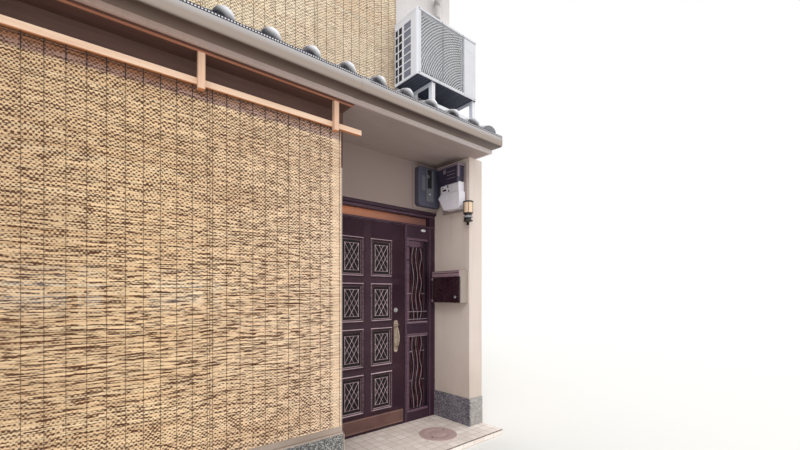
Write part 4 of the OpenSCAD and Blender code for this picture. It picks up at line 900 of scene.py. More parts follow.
@dataclass(frozen=True)
class CastBronze:
    """Dark bronzed casting: black in the hollows, rubbed lighter on what stands proud, with painted highlights where a
    piece's tint carries them.
    """

    name: str
    hollow: Tone
    body: Tone
    rubbed_and_highlight: Tone
    uses_tint: bool = True

    def make(self) -> Material:
        """Returns the material, with its nodes."""
        r = Recipe(self.name)
        here = r.place()
        brush = r.noise(r.place((3, 140, 60)), 1.0, 4, 0.6)
        cloud, speck = r.noise(here, 5, 5, 0.6), r.noise(here, 300, 3, 0.7)
        share = r.math("ADD", r.tint() if self.uses_tint else 0.5, brush.span(0.25, 0.75, -0.07, 0.07))
        colour = r.ramp(share, (0.1, self.hollow), (0.45, self.body), (0.62, self.body), (0.95, self.rubbed_and_highlight))
        colour = r.mix(cloud.span(0.45, 0.75, 0.0, 0.35), colour, self.hollow)
        colour = r.mix(speck.span(0.6, 0.75, 0.0, 0.18), colour, self.rubbed_and_highlight)
        return r.finish(colour, cloud.span(0.3, 0.7, 0.36, 0.5), brush + speck, 0.0003, Metallic=0.1,
                        Specular_IOR_Level=0.25)


@dataclass(frozen=True)
class Metal:
    """Bare or plated metal with fine brushing and dull spots."""

    name: str
    colour: Tone
    stain: Tone

    def make(self) -> Material:
        """Returns the material, with its nodes."""
        r = Recipe(self.name)
        brush = r.noise(r.place((20, 20, 300)), 1.0, 3)
        spot = r.noise(r.place(), 45, 5, 0.7)
        colour = r.mix(spot.span(0.45, 0.75, 0.0, 0.7), self.colour, self.stain)
        return r.finish(colour, spot.span(0.35, 0.7, 0.3, 0.6), brush, 0.0002, Metallic=0.85)


@dataclass(frozen=True)
class Glass:
    """Sheet glass, clear or cast with a fine ripple, with a film of dust."""

    name: str
    colour: Tone
    rough: float
    clear: float
    ripple: float
    faded: Tone | None = None

    def make(self) -> Material:
        """Returns the material, with its nodes."""
        r = Recipe(self.name)
        here = r.place()
        film = r.noise(here, 4, 4)
        colour = r.mix(film.span(0.35, 0.75, 0.0, 0.25), self.colour, tuple(0.7 * c for c in self.colour))
        if self.faded:
            colour = r.mix(here.part("X").span(PLAN.x(3500), PLAN.x(4500)), colour, self.faded)
        return r.finish(colour, film.span(0.3, 0.75, self.rough, self.rough + 0.12), r.noise(here, 70, 3, 0.6, 1.5),
                        self.ripple, Transmission_Weight=self.clear, IOR=1.45)


@dataclass(frozen=True)
class PorchTile:
    """Unglazed beige floor tile, each one a little different, speckled and walked on."""

    name: str

    def make(self) -> Material:
        """Returns the material, with its nodes."""
        r = Recipe(self.name)
        here = r.place()
        speck, cloud = r.noise(here, 500, 3, 0.8), r.noise(here, 5, 5, 0.6)
        colour = r.ramp(r.tint(), (0.0, tone(222, 208, 198)), (0.5, tone(240, 227, 218)), (1.0, tone(250, 241, 234)))
        colour = r.mix(speck.span(0.6, 0.74, 0.0, 0.25), colour, tone(160, 142, 132))
        colour = r.mix(cloud.span(0.55, 0.8, 0.0, 0.2), colour, tone(176, 162, 150))
        return r.finish(colour, cloud.span(0.3, 0.7, 0.5, 0.75), speck, 0.0004)


class Shades:
    """Every finish of the house, made once."""

    def make(self) -> None:
        """Builds the materials."""
        # Faces of the unit and its stand that look along -X take this paler colour as painted light.
        painted_light_side = tone(226, 231, 242)
        recipes = [
            Plaster("plaster_cream", tone(211, 194, 181), tone(170, 153, 140)),
            # Above 2.9 m the party walls' street faces are painted paler than their other faces, as painted light and
            # shade.
            Plaster("plaster_party", tone(220, 206, 197), tone(182, 166, 155), tone(228, 223, 219)),
            # The wall over the door takes a darker plaster as painted shade.
            Plaster("plaster_porch_shade", tone(151, 134, 129), tone(130, 112, 106)),
            Plaster("plaster_upper", tone(252, 249, 250), tone(222, 217, 216)),
            Plaster("concrete_floor", tone(150, 145, 138), tone(116, 110, 102)),
            Plaster("mortar", tone(200, 188, 178), tone(170, 158, 148)),
            PebbleDash("pebble_dash"),
            SmokedTile("smoked_tile", tone(92, 94, 102), tone(184, 186, 194)),
            SmokedTile("smoked_roof", tone(84, 87, 95), tone(158, 161, 169), 0.15),
            SmokedTile("smoked_ridge", tone(84, 89, 98), tone(150, 156, 166)),
            # The caps' tint runs from near black to near white: painted shade and highlight.
            SmokedTile("smoked_cap_painted_light", tone(24, 24, 34), tone(250, 250, 255), 0.2, 0.15),
            ReedSkin("reed", top_band=2.438),
            ReedSkin("reed_upper", flecks=0.68),
            # The pine's undersides take an orange-brown as painted shade.
            Timber("pine", tone(222, 180, 150), tone(250, 222, 196), under=tone(206, 134, 88)),
            Timber("pine_shaded", tone(146, 92, 70), tone(184, 124, 96)),
            Timber("head_wood", tone(90, 64, 56), tone(116, 86, 76), Run.ALONG_X),
            Timber("rafter_wood", tone(86, 60, 42), tone(140, 104, 74), Run.ALONG_Y, 0.7),
            Timber("roof_boards", tone(104, 78, 54), tone(158, 124, 90), Run.ALONG_X, 0.7, 0.12),
            Timber("floor_boards", tone(96, 68, 46), tone(150, 112, 78), Run.ALONG_Y, 0.45, 0.09),
            # Over the bay the soffit boards take a darker colour as painted shade.
            Timber("soffit_boards", tone(145, 129, 124), tone(168, 151, 147), Run.ALONG_X, 0.65,
                   painted_bay_shade=tone(106, 73, 63)),
            Enamel("fascia_paint", tone(184, 156, 144), 0.5, 0.2, far=tone(212, 202, 200)),
            # Both gutters carry painted shade underneath, and the pent gutter's grime colour is darkened for it.
            Enamel("gutter_cream", tone(186, 180, 172), 0.42, 0.3, under=0.8),
            Enamel("gutter_taupe", tone(184, 182, 184), 0.42, 0.3, grime_and_shade=tone(68, 52, 48), under=0.98),
            Enamel("pipe_white", tone(226, 222, 222), 0.42, 0.2),
            Enamel("flashing_paint", tone(96, 98, 100), 0.4, 0.4, 0.5),
            Enamel("unit_shell", tone(211, 212, 218), 0.4, 0.25, side=painted_light_side),
            Enamel("unit_dark", tone(38, 45, 66), 0.55, 0.2),
            Enamel("unit_coil", tone(96, 98, 106), 0.5, 0.2, 0.3),
            Enamel("unit_grey", tone(150, 150, 158), 0.45, 0.25),
            Enamel("stand_paint", tone(228, 229, 233), 0.4, 0.3, side=painted_light_side),
            Enamel("letter_case", tone(156, 143, 134), 0.4, 0.35, 0.1),
            Enamel("letter_mauve", tone(168, 138, 148), 0.35, 0.15, 0.2),
            Enamel("letter_red", tone(43, 17, 30), 0.2, 0.12),
            Enamel("box_charcoal", tone(70, 71, 90), 0.42, 0.25),
            Enamel("box_grey", tone(98, 100, 108), 0.42, 0.2),
            Enamel("box_black", tone(16, 16, 24), 0.3, 0.1),
            Enamel("board_taupe", tone(160, 144, 140), 0.6, 0.3),
            Enamel("meter_silver", tone(236, 233, 242), 0.38, 0.15),
            Enamel("meter_lilac", tone(126, 112, 126), 0.4, 0.25),
            Enamel("cord_brown", tone(104, 76, 54), 0.8, 0.0),
            Enamel("twine_black", tone(34, 24, 26), 0.8, 0.0),
            Enamel("lamp_black", tone(30, 26, 28), 0.4, 0.2),
            Enamel("mesh_plastic", tone(92, 87, 86), 0.5, 0.2),
            Enamel("rubber", tone(34, 34, 36), 0.7, 0.2),
            Enamel("hinge_brown", tone(96, 82, 72), 0.35, 0.2, 0.6),
            Enamel("cast_cover", tone(208, 178, 176), 0.5, 0.2, 0.2),
            Enamel("window_bronze", tone(78, 70, 62), 0.35, 0.25, 0.5),
            Enamel("window_silver", tone(150, 150, 148), 0.35, 0.25, 0.6),
            CastBronze("coil_fins", tone(26, 26, 34), tone(78, 80, 92), tone(122, 127, 144)),
            CastBronze("door_bronze", tone(16, 8, 13), tone(57, 34, 46), tone(226, 200, 206)),
            CastBronze("frame_bronze", tone(26, 15, 26), tone(64, 42, 58), tone(150, 120, 134)),
            CastBronze("frame_plain", tone(26, 15, 26), tone(60, 39, 53), tone(150, 120, 134), uses_tint=False),
            CastBronze("kick_bronze", tone(40, 24, 24), tone(112, 82, 76), tone(158, 128, 120)),
            CastBronze("grille_iron", tone(22, 12, 19), tone(78, 54, 64), tone(184, 164, 178)),
            Metal("brass", tone(186, 170, 152), tone(86, 73, 64)),
            Metal("steel", tone(190, 190, 194), tone(120, 118, 116)),
            Glass("window_glass", (0.80, 0.87, 0.88), 0.03, 0.95, 0.0),
            Glass("amber_glass", tone(234, 148, 102), 0.28, 0.2, 0.0012, tone(146, 104, 98)),
            Glass("sidelight_glass", tone(86, 38, 42), 0.3, 0.2, 0.0012),
            Glass("meter_glass", tone(62, 56, 78), 0.1, 0.2, 0.0),
            Glass("lamp_opal", tone(242, 212, 182), 0.35, 0.1, 0.0006),
            PorchTile("porch_tile"),
        ]
        FINISHES.update({recipe.name: recipe.make() for recipe in recipes})

    def dress(self, frame: dict) -> None:
        """Gives every CAD node its finish.

        Args:
            frame: The loaded frame.
        """
        table = {
            "concrete_floor": "ground_floor", "mortar": "porch_step", "cast_cover": "drain_cover",
            "plaster_cream": "front_bay_wall entrance_side_wall back_wall_lower",
            "plaster_party": "party_wall_left party_wall_right", "plaster_porch_shade": "door_head_wall",
            "plaster_upper": "upper_front_wall back_wall_upper", "pebble_dash": "base_course",
            "head_wood": "bay_head_board", "floor_boards": "upper_floor", "soffit_boards": "pent_soffit",
            "fascia_paint": "pent_fascia", "roof_boards": "pent_deck main_deck", "rafter_wood": "main_rafters",
            "smoked_tile": "pent_tiles", "smoked_roof": "main_tiles_front main_tiles_back",
            "smoked_ridge": "ridge_tiles", "flashing_paint": "pent_flashing", "gutter_taupe": "pent_gutter",
            "gutter_cream": "gutter_front gutter_back", "pipe_white": "downpipes", "frame_plain": "door_frame",
            "hinge_brown": "door_hinges", "door_bronze": "door_leaf", "brass": "door_handle",
            "amber_glass": "transom_glass", "grille_iron": "sidelight_grille", "sidelight_glass": "sidelight_glass",
            "window_bronze": "bay_window upper_window back_windows", "window_glass": "bay_glass upper_glass back_glass",
            "pine": "screen_frame upper_screen_rail", "reed": "lower_screens_reed upper_screens_reed",
            "unit_shell": "outdoor_unit unit_grille", "stand_paint": "outdoor_stand", "letter_mauve": "mailbox_body",
            "letter_red": "mailbox_door", "box_charcoal": "breaker_box", "meter_lilac": "electric_meter",
            "lamp_black": "wall_lamp", "lamp_opal": "lamp_glass",
        }
        for finish, nodes in table.items():
            for node in nodes.split():
                thing = frame["nodes"][node]
                if not thing.material_slots:
                    thing.data.materials.append(FINISHES[finish])
                for place in thing.material_slots:
                    place.material = FINISHES[finish]
                LOG.info("%s: %s", node, finish)


# ---- roofs

def varied(rng: np.random.Generator, count: int, middle: float = 0.5, spread: float = 0.15) -> Array:
    """Random tints about a middle, held between 0 and 1."""
    return np.clip(rng.normal(middle, spread, count), 0, 1)


@dataclass
class TiledSlope:
    """Courses of smoked pantiles on one slope, with domed eaves tiles and verge tiles."""

    name: str
    node: str
    x0: float
    x1: float
    y0: float
    z0: float
    pitch: float
    run: float
    tile: float = 265
    roll_w: float = 110
    roll_h: float = 83
    pan_z: float = 24
    thick: float = 13
    expose: float = 235
    lap: float = 42
    lift: float = 17
    cap_d: float = 120
    left: float = 0
    mirrored: bool = False
    finish: str = "smoked_roof"

    def section(self) -> Array:
        """Closed section across one tile: a hollow pan, then a roll of half a cosine wave, and the same set down.

        Returns:
            Points (k, 2) of distance from the tile's left edge and height over the boards.
        """
        pan = np.linspace(-12, self.tile - self.roll_w, 6)
        hollow = self.pan_z - 9 * np.sin(math.pi * (pan - pan[0]) / (pan[-1] - pan[0]))
        s = np.linspace(-0.5, 0.5, 11)[1:]
        crest = self.roll_h - self.lift - 1 - self.pan_z
        roll = self.pan_z + crest * (0.5 + 0.5 * np.cos(TURN * s)) ** 0.8
        across = np.concatenate([pan, self.tile - self.roll_w / 2 + s * self.roll_w])
        top = np.stack([across, np.concatenate([hollow, roll])], axis=-1)
        return np.concatenate([top, top[::-1] - [0, self.thick]])

    def course(self, outline: Array, x: Number, v: Array, lift: Array) -> Array:
        """Copies of an outline at places up the slope: x + its x, the place, and its height + the lift there.

        Args:
            outline: Points (k, 2) across the slope.
            x: Where each copy starts, one number or (copies, 1, 1).
            v: Places up the slope, (copies, stations).
            lift: Lift at each place.

        Returns:
            Points (copies, stations, k, 3) of x, v and h on the slope.
        """
        return at(x + outline[:, 0], v[..., None], outline[:, 1] + lift[..., None])

    def set_out(self, flat: Array) -> Array:
        """Turns x, v up the slope and h square to it into the plan: y = v cos a - h sin a, z = v sin a + h cos a.

        Args:
            flat: Points of x, v and h.

        Returns:
            Points of the plan.
        """
        a = math.atan(self.pitch)
        x, v, h = np.moveaxis(flat, -1, 0)
        y = self.y0 + v * math.cos(a) - h * math.sin(a)
        if self.mirrored:
            y = 2 * PLAN.ridge_y - y
        return at(self.x0 + x, y, self.z0 + v * math.sin(a) + h * math.cos(a))

    def build(self) -> None:
        """Builds the slope's tiles as one piece, and the eaves caps as another."""
        rng = np.random.default_rng(len(self.name) * 7 + 3)
        width = self.x1 - self.x0
        columns = int((width - self.left - self.roll_w) // self.tile)
        side = self.left or (width - columns * self.tile) / 2
        right = width - side - columns * self.tile
        length = self.run / math.cos(math.atan(self.pitch))
        rows = math.ceil(length / self.expose)
        start = np.arange(rows) * self.expose
        end = np.minimum(start + self.expose + self.lap, length)
        places = np.stack([start, start + 3, end], axis=1)
        head = 1 - (end - start) / (self.expose + self.lap)
        lift = self.lift * np.stack([np.ones(rows), np.ones(rows), head], axis=1)
        column, row = (g.ravel() for g in np.meshgrid(np.arange(columns), np.arange(rows), indexing="ij"))
        first = side - (self.tile - self.roll_w) / 2
        section = self.section()
        k = len(section)
        shift, slip = rng.normal(0, 0.8, (2, len(row)))
        flat = self.course(section, (first + column * self.tile + shift)[:, None, None], places[row] + slip[:, None],
                           lift[row])
        flat[:, 0, :k // 2, 2] -= 3
        form = Form().loft(self.set_out(flat), varied(rng, len(row), spread=0.17))
        # The last column ends in a pan without a roll
        last = section[[*range(6), *range(k - 6, k)]] * [0.55, 1]
        flat = self.course(last, first + columns * self.tile, places, lift)
        form.loft(self.set_out(flat), varied(rng, rows, spread=0.17))
        # The verge tiles have a rounded back over the outer edge
        share = np.linspace(0, 1, 11)
        hump = 26 + (self.roll_h - self.lift - 32) * np.sin(math.pi * share) ** 0.7
        for place, wide in ((0.0, side), (width - right, right)):
            outline = np.concatenate([np.stack([wide * share, hump], axis=-1), [[wide, 2], [0, 2]]])
            flat = self.course(outline, place, places, lift)
            flat[..., 2] = np.maximum(flat[..., 2], 2)
            form.loft(self.set_out(flat), varied(rng, rows, 0.45))
        self.eaves(form, side, columns)
        form.piece(self.name, self.finish, "roof_tile", (self.node,), crease=40)

    def eaves(self, form: Form, side: float, columns: int) -> None:
        """Adds the domed caps under the rolls, with painted highlight and shade, and the drip edge between them.

        Args:
            form: The slope's form.
            side: Width of the strip at each end.
            columns: Number of rolls.
        """
        r = self.cap_d / 2
        a = np.linspace(0, math.pi / 2 * 0.97, 9)
        dome = np.stack([r * np.cos(a), -4 - 30 * np.sin(a)], axis=-1)
        profile = np.concatenate([[[r * 0.9, 40], [r, 36], [r, 0]], dome])
        unit = circle(ROUND)
        rolls = side + (np.arange(columns) + 0.5) * self.tile
        flat = revolve(profile, 1, unit[:, ::-1]) + at(rolls, 0, self.roll_h - r)[:, None, None]
        # Painted highlight on each cap's upper right and painted shade on its lower left, carried by the tint.
        painted_light = profile[:, :1] / r * (1.15 * unit[:, 1] + 0.7 * unit[:, 0]) - 0.05
        caps = Form().loft(self.set_out(flat), np.clip(painted_light, 0, 1).reshape(1, -1))
        caps.piece(self.name + "_caps", "smoked_cap_painted_light", "roof_tile", crease=40)
        # The drip edge: a lip that hangs a little below each pan
        x = np.linspace(-0.5, 0.5, 13)
        upper = np.stack([x * (self.tile - 60), self.pan_z + 18 * np.abs(2 * x) ** 3], -1)
        lower = np.stack([x * (self.tile - 60), -10 - 9 * np.cos(math.pi * x)], -1)
        gaps = side + np.arange(1, columns) * self.tile
        flat = self.course(np.concatenate([upper, lower[::-1]]), gaps[:, None, None], np.array([[-6.0, 8.0]]),
                           np.zeros((1, 2)))
        form.loft(self.set_out(flat), 0.85)


@dataclass
class Ridge:
    """Ridge of stacked flat tiles, a row of cap tiles with rims, and an end tile on each gable."""

    half: float = 130
    height: float = 300
    layers: int = 9
    step: float = 6.5
    cap_d: float = 150
    tile: float = 290
    end_t: float = 60
    head_r: float = 115

    def build(self) -> None:
        """Builds the ridge as one piece."""
        rng = np.random.default_rng(11)
        form = Form()
        ry, x0, x1 = PLAN.ridge_y, self.end_t, PLAN.width - self.end_t
        low = PLAN.main_top(ry - self.half)
        cap_z = PLAN.main_top(ry) + self.height - self.cap_d / 2
        edges = np.linspace(low, cap_z - 6, self.layers + 1)
        cuts = np.linspace(x0, x1, int((x1 - x0) // self.tile) + 1)
        for i in range(self.layers):
            half, shift = self.half - i * self.step, i % 2 * self.tile / 2
            left, right = np.clip(cuts[:-1] + shift, x0, x1), np.clip(cuts[1:] + shift - 2, x0, x1)
            keep = right - left > 20
            form.slab(left[keep], right[keep], ry - half, ry + half, edges[i], edges[i + 1] - 3, 5,
                      varied(rng, keep.sum()))
        form.slab(x0, x1, ry - self.half + 70, ry + self.half - 70, low + 10, cap_z, 2, 0.1)
        r, count = self.cap_d / 2, round((x1 - x0) / self.tile)
        run = (x1 - x0) / count
        profile = np.array([[r * 0.86, 0], [r, 4], [r, 34], [r * 0.9, 40], [r * 0.86, 60], [r * 0.86, self.tile + 12]])
        caps = revolve(profile * [1, run / self.tile], 0, circle(ROUND))
        caps = caps + at(x0 + np.arange(count) * run, ry, cap_z)[:, None, None]
        caps[..., 0] = np.minimum(caps[..., 0], x1)
        form.loft(caps, varied(rng, count))
        self.ends(form)
        form.piece("ridge_stack", "smoked_ridge", "roof_tile", ("ridge_tiles",))

    def ends(self, form: Form) -> None:
        """Adds the end tiles: a round head with raised rings, on a stem with two spread feet.

        Args:
            form: The ridge's form.
        """
        ry, r, top = PLAN.ridge_y, self.head_r, PLAN.main_top(PLAN.ridge_y)
        head = top + self.height + 50 - r
        crest = 83 / math.cos(math.atan(PLAN.main_pitch)) + 1
        foot = PLAN.main_top(ry - 130)
        z_in, z_out = foot + crest, PLAN.main_top(ry - 210) + crest
        side = np.array([[130, foot], [130, z_in], [210, z_out], [214, z_out + 40], [206, z_out + 80],
                         [176, z_in + 92], [130, z_in + 128], [104, head - 40], [96, head]])
        outline = np.concatenate([[[0, top]], side, side[::-1] * [-1, 1]]) + [ry, 0]
        rings = np.array([[r, -52], [r, -8], [r - 8, 0], [r - 18, 0], [r - 24, -8], [r - 40, -8],
                          [r - 46, 0], [r - 56, 0], [r - 64, -8], [30, -8], [24, 2], [2, 4]])
        for x, face, out in ((0.0, 0.0, -1), (PLAN.width - self.end_t, PLAN.width, 1)):
            form.prism(outline, 0, x, x + self.end_t, 6, 0.55)
            form.turned(rings * [1, out], at(face - 6 * out, ry, head), 0, 36, 0.6)


@dataclass
class Gutter:
    """Straps and sleeves on one gutter, and a net over the pent roof's."""

    name: str
    node: str
    finish: str = "gutter_cream"
    depth: float = 118
    height: float = 83
    band: float = 64
    round: float = 20
    sheet: float = 3
    netted: bool = False
    facing: int = -1

    def section(self, out: float) -> Array:
        """The gutter's section from back foot to front lip, set out by a distance: flat foot, quarter round, lip.

        Args:
            out: How far it is set out.

        Returns:
            Points (k, 2) of distance from the back and height over the foot.
        """
        turn = np.linspace(-math.pi / 2, 0, 13)
        y, z = self.depth - self.round, self.height - self.band
        arc = np.stack([y + (self.round + out) * np.cos(turn), z + (z + out) * np.sin(turn)], -1)
        points = np.concatenate([[[max(-out, 0), -out]], arc, [[self.depth + out, self.height]]])
        return points * [self.facing, 1]

    def build(self) -> None:
        """Builds the gutter, its straps and sleeves, and its net."""
        low, high = PLAN.measured(self.node)
        f = self.facing
        back = high[1] if f < 0 else low[1]
        start = np.array([back, low[2]])
        outer, inner = self.section(0), self.section(-self.sheet)
        top = np.array([[0, self.height], [f * self.sheet, self.height]])
        trough, sleeves = Form(), Form()
        trough.prism(np.concatenate([top[:1], outer, inner[::-1], top[1:]]) + start, 0, low[0], high[0])
        for x in (low[0], high[0] - self.sheet):
            trough.prism(np.concatenate([top[:1], outer]) + start, 0, x, x + self.sheet)
        front = back + f * self.depth
        trough.slab(low[0], high[0], front - f * 9, front, high[2] - 1, high[2] + 5, 2)
        trough.piece(self.name + "_trough", self.finish, "gutter_plastic", (self.node,))
        strap = np.concatenate([self.section(2.4), self.section(0.2)[::-1]]) + start
        spots = [] if self.netted else [(x, 12) for x in np.arange(low[0] + 260, high[0] - 100, 910)]
        spots += [(low[0] + (high[0] - low[0]) * share / 3, 34) for share in (1, 2)]
        for x, half in spots:
            sleeves.prism(strap, 0, x - half, x + half)
        sleeves.piece(self.name + "_straps", self.finish, "gutter_plastic")
        if self.netted:
            self.net()

    def net(self) -> None:
        """Adds the plastic net that keeps leaves out: crossed strands bowed over the gutter."""
        low, high = PLAN.measured(self.node)
        y = np.linspace(low[1] + 4, high[1] - 2, 9)
        z = high[2] + 4 + 10 * np.sin(np.linspace(0, math.pi, 9))
        x = np.linspace(low[0] + 8, high[0] - 8, int((high[0] - low[0] - 20) // 9))
        form = Form().tube(at(x[:, None], y[::2], z[::2]), 1.0, 4, 0.5, 1, up=(1, 0, 0))
        along = at(np.array([low[0] + 4, high[0] - 4]), y[:, None], z[:, None])
        form.tube(along, 1.0, 4)
        # The net's edge, rolled over the front lip
        roll = np.array([[3.0, -2.0], [2.0, 9.0], [5.0, 16.0], [10.0, 15.0]]) + [low[1], high[2]]
        x = np.arange(low[0] + 8, high[0] - 8, 16)
        form.tube(at(x[:, None], roll[:, 0], roll[:, 1]), 2.1, 4, 0.5, 2, up=(1, 0, 0))
        form.tube(along[:1] + [0, -2, 6], 1.4, 4)
        form.piece(self.name + "_net", "mesh_plastic", "gutter_plastic")
        top_band = Form().slab(low[0] + 4, high[0] - 4, low[1] - 0.8, low[1] - 0.2, high[2] - 3, high[2] + 14)
        top_band.piece(self.name + "_net_hem", "unit_dark", "gutter_plastic")
        clips = Form().slab(x + 3, x + 12, low[1] - 3.2, low[1] - 1, high[2] + 1, high[2] + 8, 0.8)
        clips.piece(self.name + "_net_clips", "pipe_white", "gutter_plastic")


@dataclass
class Downpipes:
    """Sockets and clips on the downpipes."""

    spots: tuple[tuple[float, float, float, int], ...]
    pipe_d: float = 60

    def build(self) -> None:
        """Builds the collars, then the clips with their arms to the wall."""
        form = Form()
        r = self.pipe_d / 2
        foot = r * 0.9
        for x, y, z, _ in self.spots:
            form.turned([[foot, -30], [r + 3.5, -30], [r + 5, -26], [r + 5, 22], [r + 1.5, 30], [foot, 30]],
                        at(x, y, z), 2, ROUND)
        for x, y, z, wall in self.spots:
            form.turned([[foot, -9], [r + 3, -9], [r + 3.5, -8], [r + 3.5, 8], [r + 3, 9], [foot, 9]],
                        at(x, y, z - 160), 2, ROUND)
            form.slab(x - 6, x + 6, y + wall * r, y + wall * 50, z - 169, z - 151)
        form.piece("downpipe_collars", "gutter_taupe", "gutter_plastic")


# ---- screens

@dataclass
class ReedScreen:
    """A row of hung reed blinds: round reeds laid level and sewn with dark cord."""

    name: str
    node: str
    x0: float
    x1: float
    panels: int
    y: float
    z0: float
    z1: float
    rail_z: float
    shade: float
    finish: str = "reed"
    ties: bool = True
    gap: float = 0.6
    reed_d: float = 4.4
    pitch: float = 4.7
    sew: float = 74
    stations: int = 8

    def build(self) -> None:
        """Builds the reeds, the cords and the edge laths."""
        rng = np.random.default_rng(self.panels * 31)
        reeds, cords, laths, ties = Form(), Form(), Form(), Form()
        width = (self.x1 - self.x0 - (self.panels - 1) * self.gap) / self.panels
        rows = int((self.z1 - self.z0 - 26) // self.pitch)
        size = (rows, self.stations)
        for p in range(self.panels):
            left = self.x0 + p * (width + self.gap)
            x = left + np.linspace(0, width, self.stations) + np.zeros((rows, 1))
            x[:, 0] += rng.uniform(0, 2, rows)
            x[:, -1] -= rng.uniform(0, 2, rows)
            y = self.y + rng.normal(0, 0.5, size)
            z = self.z0 + 13 + (np.arange(rows)[:, None] + 0.5) * self.pitch
            z = z + rng.normal(0, 0.28, size) + rng.normal(0, 0.3, (rows, 1))
            thick = self.reed_d / 2 * (1 + rng.normal(0, 0.09, size) * 0.6 + rng.normal(0, 0.08, (rows, 1)))
            tint = rng.normal(self.shade, 0.09, rows)
            tint = np.where(rng.uniform(size=rows) < 0.04, tint * 0.5, tint)
            reeds.tube(at(x, y, z), thick, 6, np.clip(tint, 0.02, 0.98))
            self.sew_panel(cords, ties, left, width)
            for lath in (self.z0 + 2,) if self.ties else (self.z0 + 2, self.z1 - 14):
                laths.slab(left, left + width, self.y - 3.5, self.y + 3, lath, lath + 9, tint=0.35)
        reeds.piece(self.name, self.finish, "reed", (self.node,))
        cords.piece(self.name + "_cords", "cord_brown", "reed")
        if self.ties:
            ties.piece(self.name + "_ties", "twine_black", "reed")
        laths.piece(self.name + "_laths", self.finish, "reed")

    def sew_panel(self, cords: Form, ties: Form, left: float, width: float) -> None:
        """Adds the cords on both faces of a blind, their ties over the rail, and a cord along its head.

        Args:
            cords: The cords' form.
            ties: The dark ties' form.
            left: The blind's left edge.
            width: The blind's width.
        """
        n = round(width / self.sew)
        x = left + 14 + np.arange(n) * (width - 28) / (n - 1)
        z = np.linspace(self.z0, self.rail_z - 1, 26)
        weave = 0.5 * np.where(np.arange(26) % 2, 1, -1)
        share = np.clip((x[:, None] - self.x0) / (self.x1 - self.x0), 0, 1) + 0 * z
        for side in (-1, 1):
            y = np.where(z > self.z1, self.y + side * 3, self.y + side * (self.reed_d / 2 + 1.1) + weave * 0.6)
            cords.tube(at(x[:, None] + weave * 0.8, y, z), 0.6 + 0.8 * share, 5, 0.5, 2)
        cords.slab(x - 3, x + 3, self.y - 4, self.y + 4, self.rail_z - 7, self.rail_z - 1, 1.5)
        hang = np.linspace(self.rail_z, self.rail_z - 84, 5)
        ties.tube(at(x[:, None], self.y - np.array([3, 5, 5.5, 5.5, 4.5]), hang), 1.7, 6, 0.5, 2)
        across = np.array([left + 4, left + width - 4])
        ties.tube(at(across, self.y - 5, self.rail_z - 18), 1.1, 6, up=(0, 0, 1))


@dataclass
class ScreenTimbers:
    """The pine frame that carries the blinds of both storeys."""

    rail: tuple[float, ...] = (429, 3264, -119, -89, 2514, 2552)
    batten: tuple[float, ...] = (429, 3170, -158, -145, 2681, 2693)
    strut: tuple[float, ...] = (-155, -119, 2482, 2693)
    strut_x: tuple[float, ...] = (489, 1338, 2187, 3036)
    upper: tuple[float, ...] = (614, 3964, 281, 311, 4660, 4698)
    brackets: int = 4
    bar_w: float = 36
    nose: float = 40
    planed: float = 2.5
    screw: Pairs = ((0.1, -2.2), (2.6, -2), (4.2, -0.9), (4.4, 2))

    def build(self) -> None:
        """Builds the bars and their screws."""
        front = Form().slab(*self.rail, self.planed, 0.7)
        batten = Form().slab(*self.batten, self.planed, 0.4)
        for i, x in enumerate(self.strut_x):
            front.slab(x - self.bar_w / 2, x + self.bar_w / 2, *self.strut, self.planed, 0.08 + 0.12 * (i % 3), 2)
        upper, screws = Form().slab(*self.upper, self.planed, 0.6), Form()
        x0, x1, y0, y1, z0, z1 = self.upper
        h = z1 - z0
        step = (x1 - x0 - 2 * self.nose - self.bar_w) / (self.brackets - 1)
        for i in range(self.brackets):
            x = x0 + self.nose + i * step
            upper.slab(x, x + self.bar_w, (y0 + y1) / 2, PLAN.body_y, z0 + h / 5, z0 + h * 4 / 5, self.planed, 0.4, 1)
            screws.turned(self.screw, at(x + self.bar_w / 2, y0, z0 + h / 2), 1, 14)
        front.piece("screen_rail_and_struts", "pine", "pine", ("screen_frame",))
        batten.piece("screen_batten", "pine_shaded", "pine", ("screen_frame",))
        upper.piece("upper_rail_bars", "pine", "pine", ("upper_screen_rail",))
        screws.piece("screen_screws", "hinge_brown", "pine")


# ---- entrance

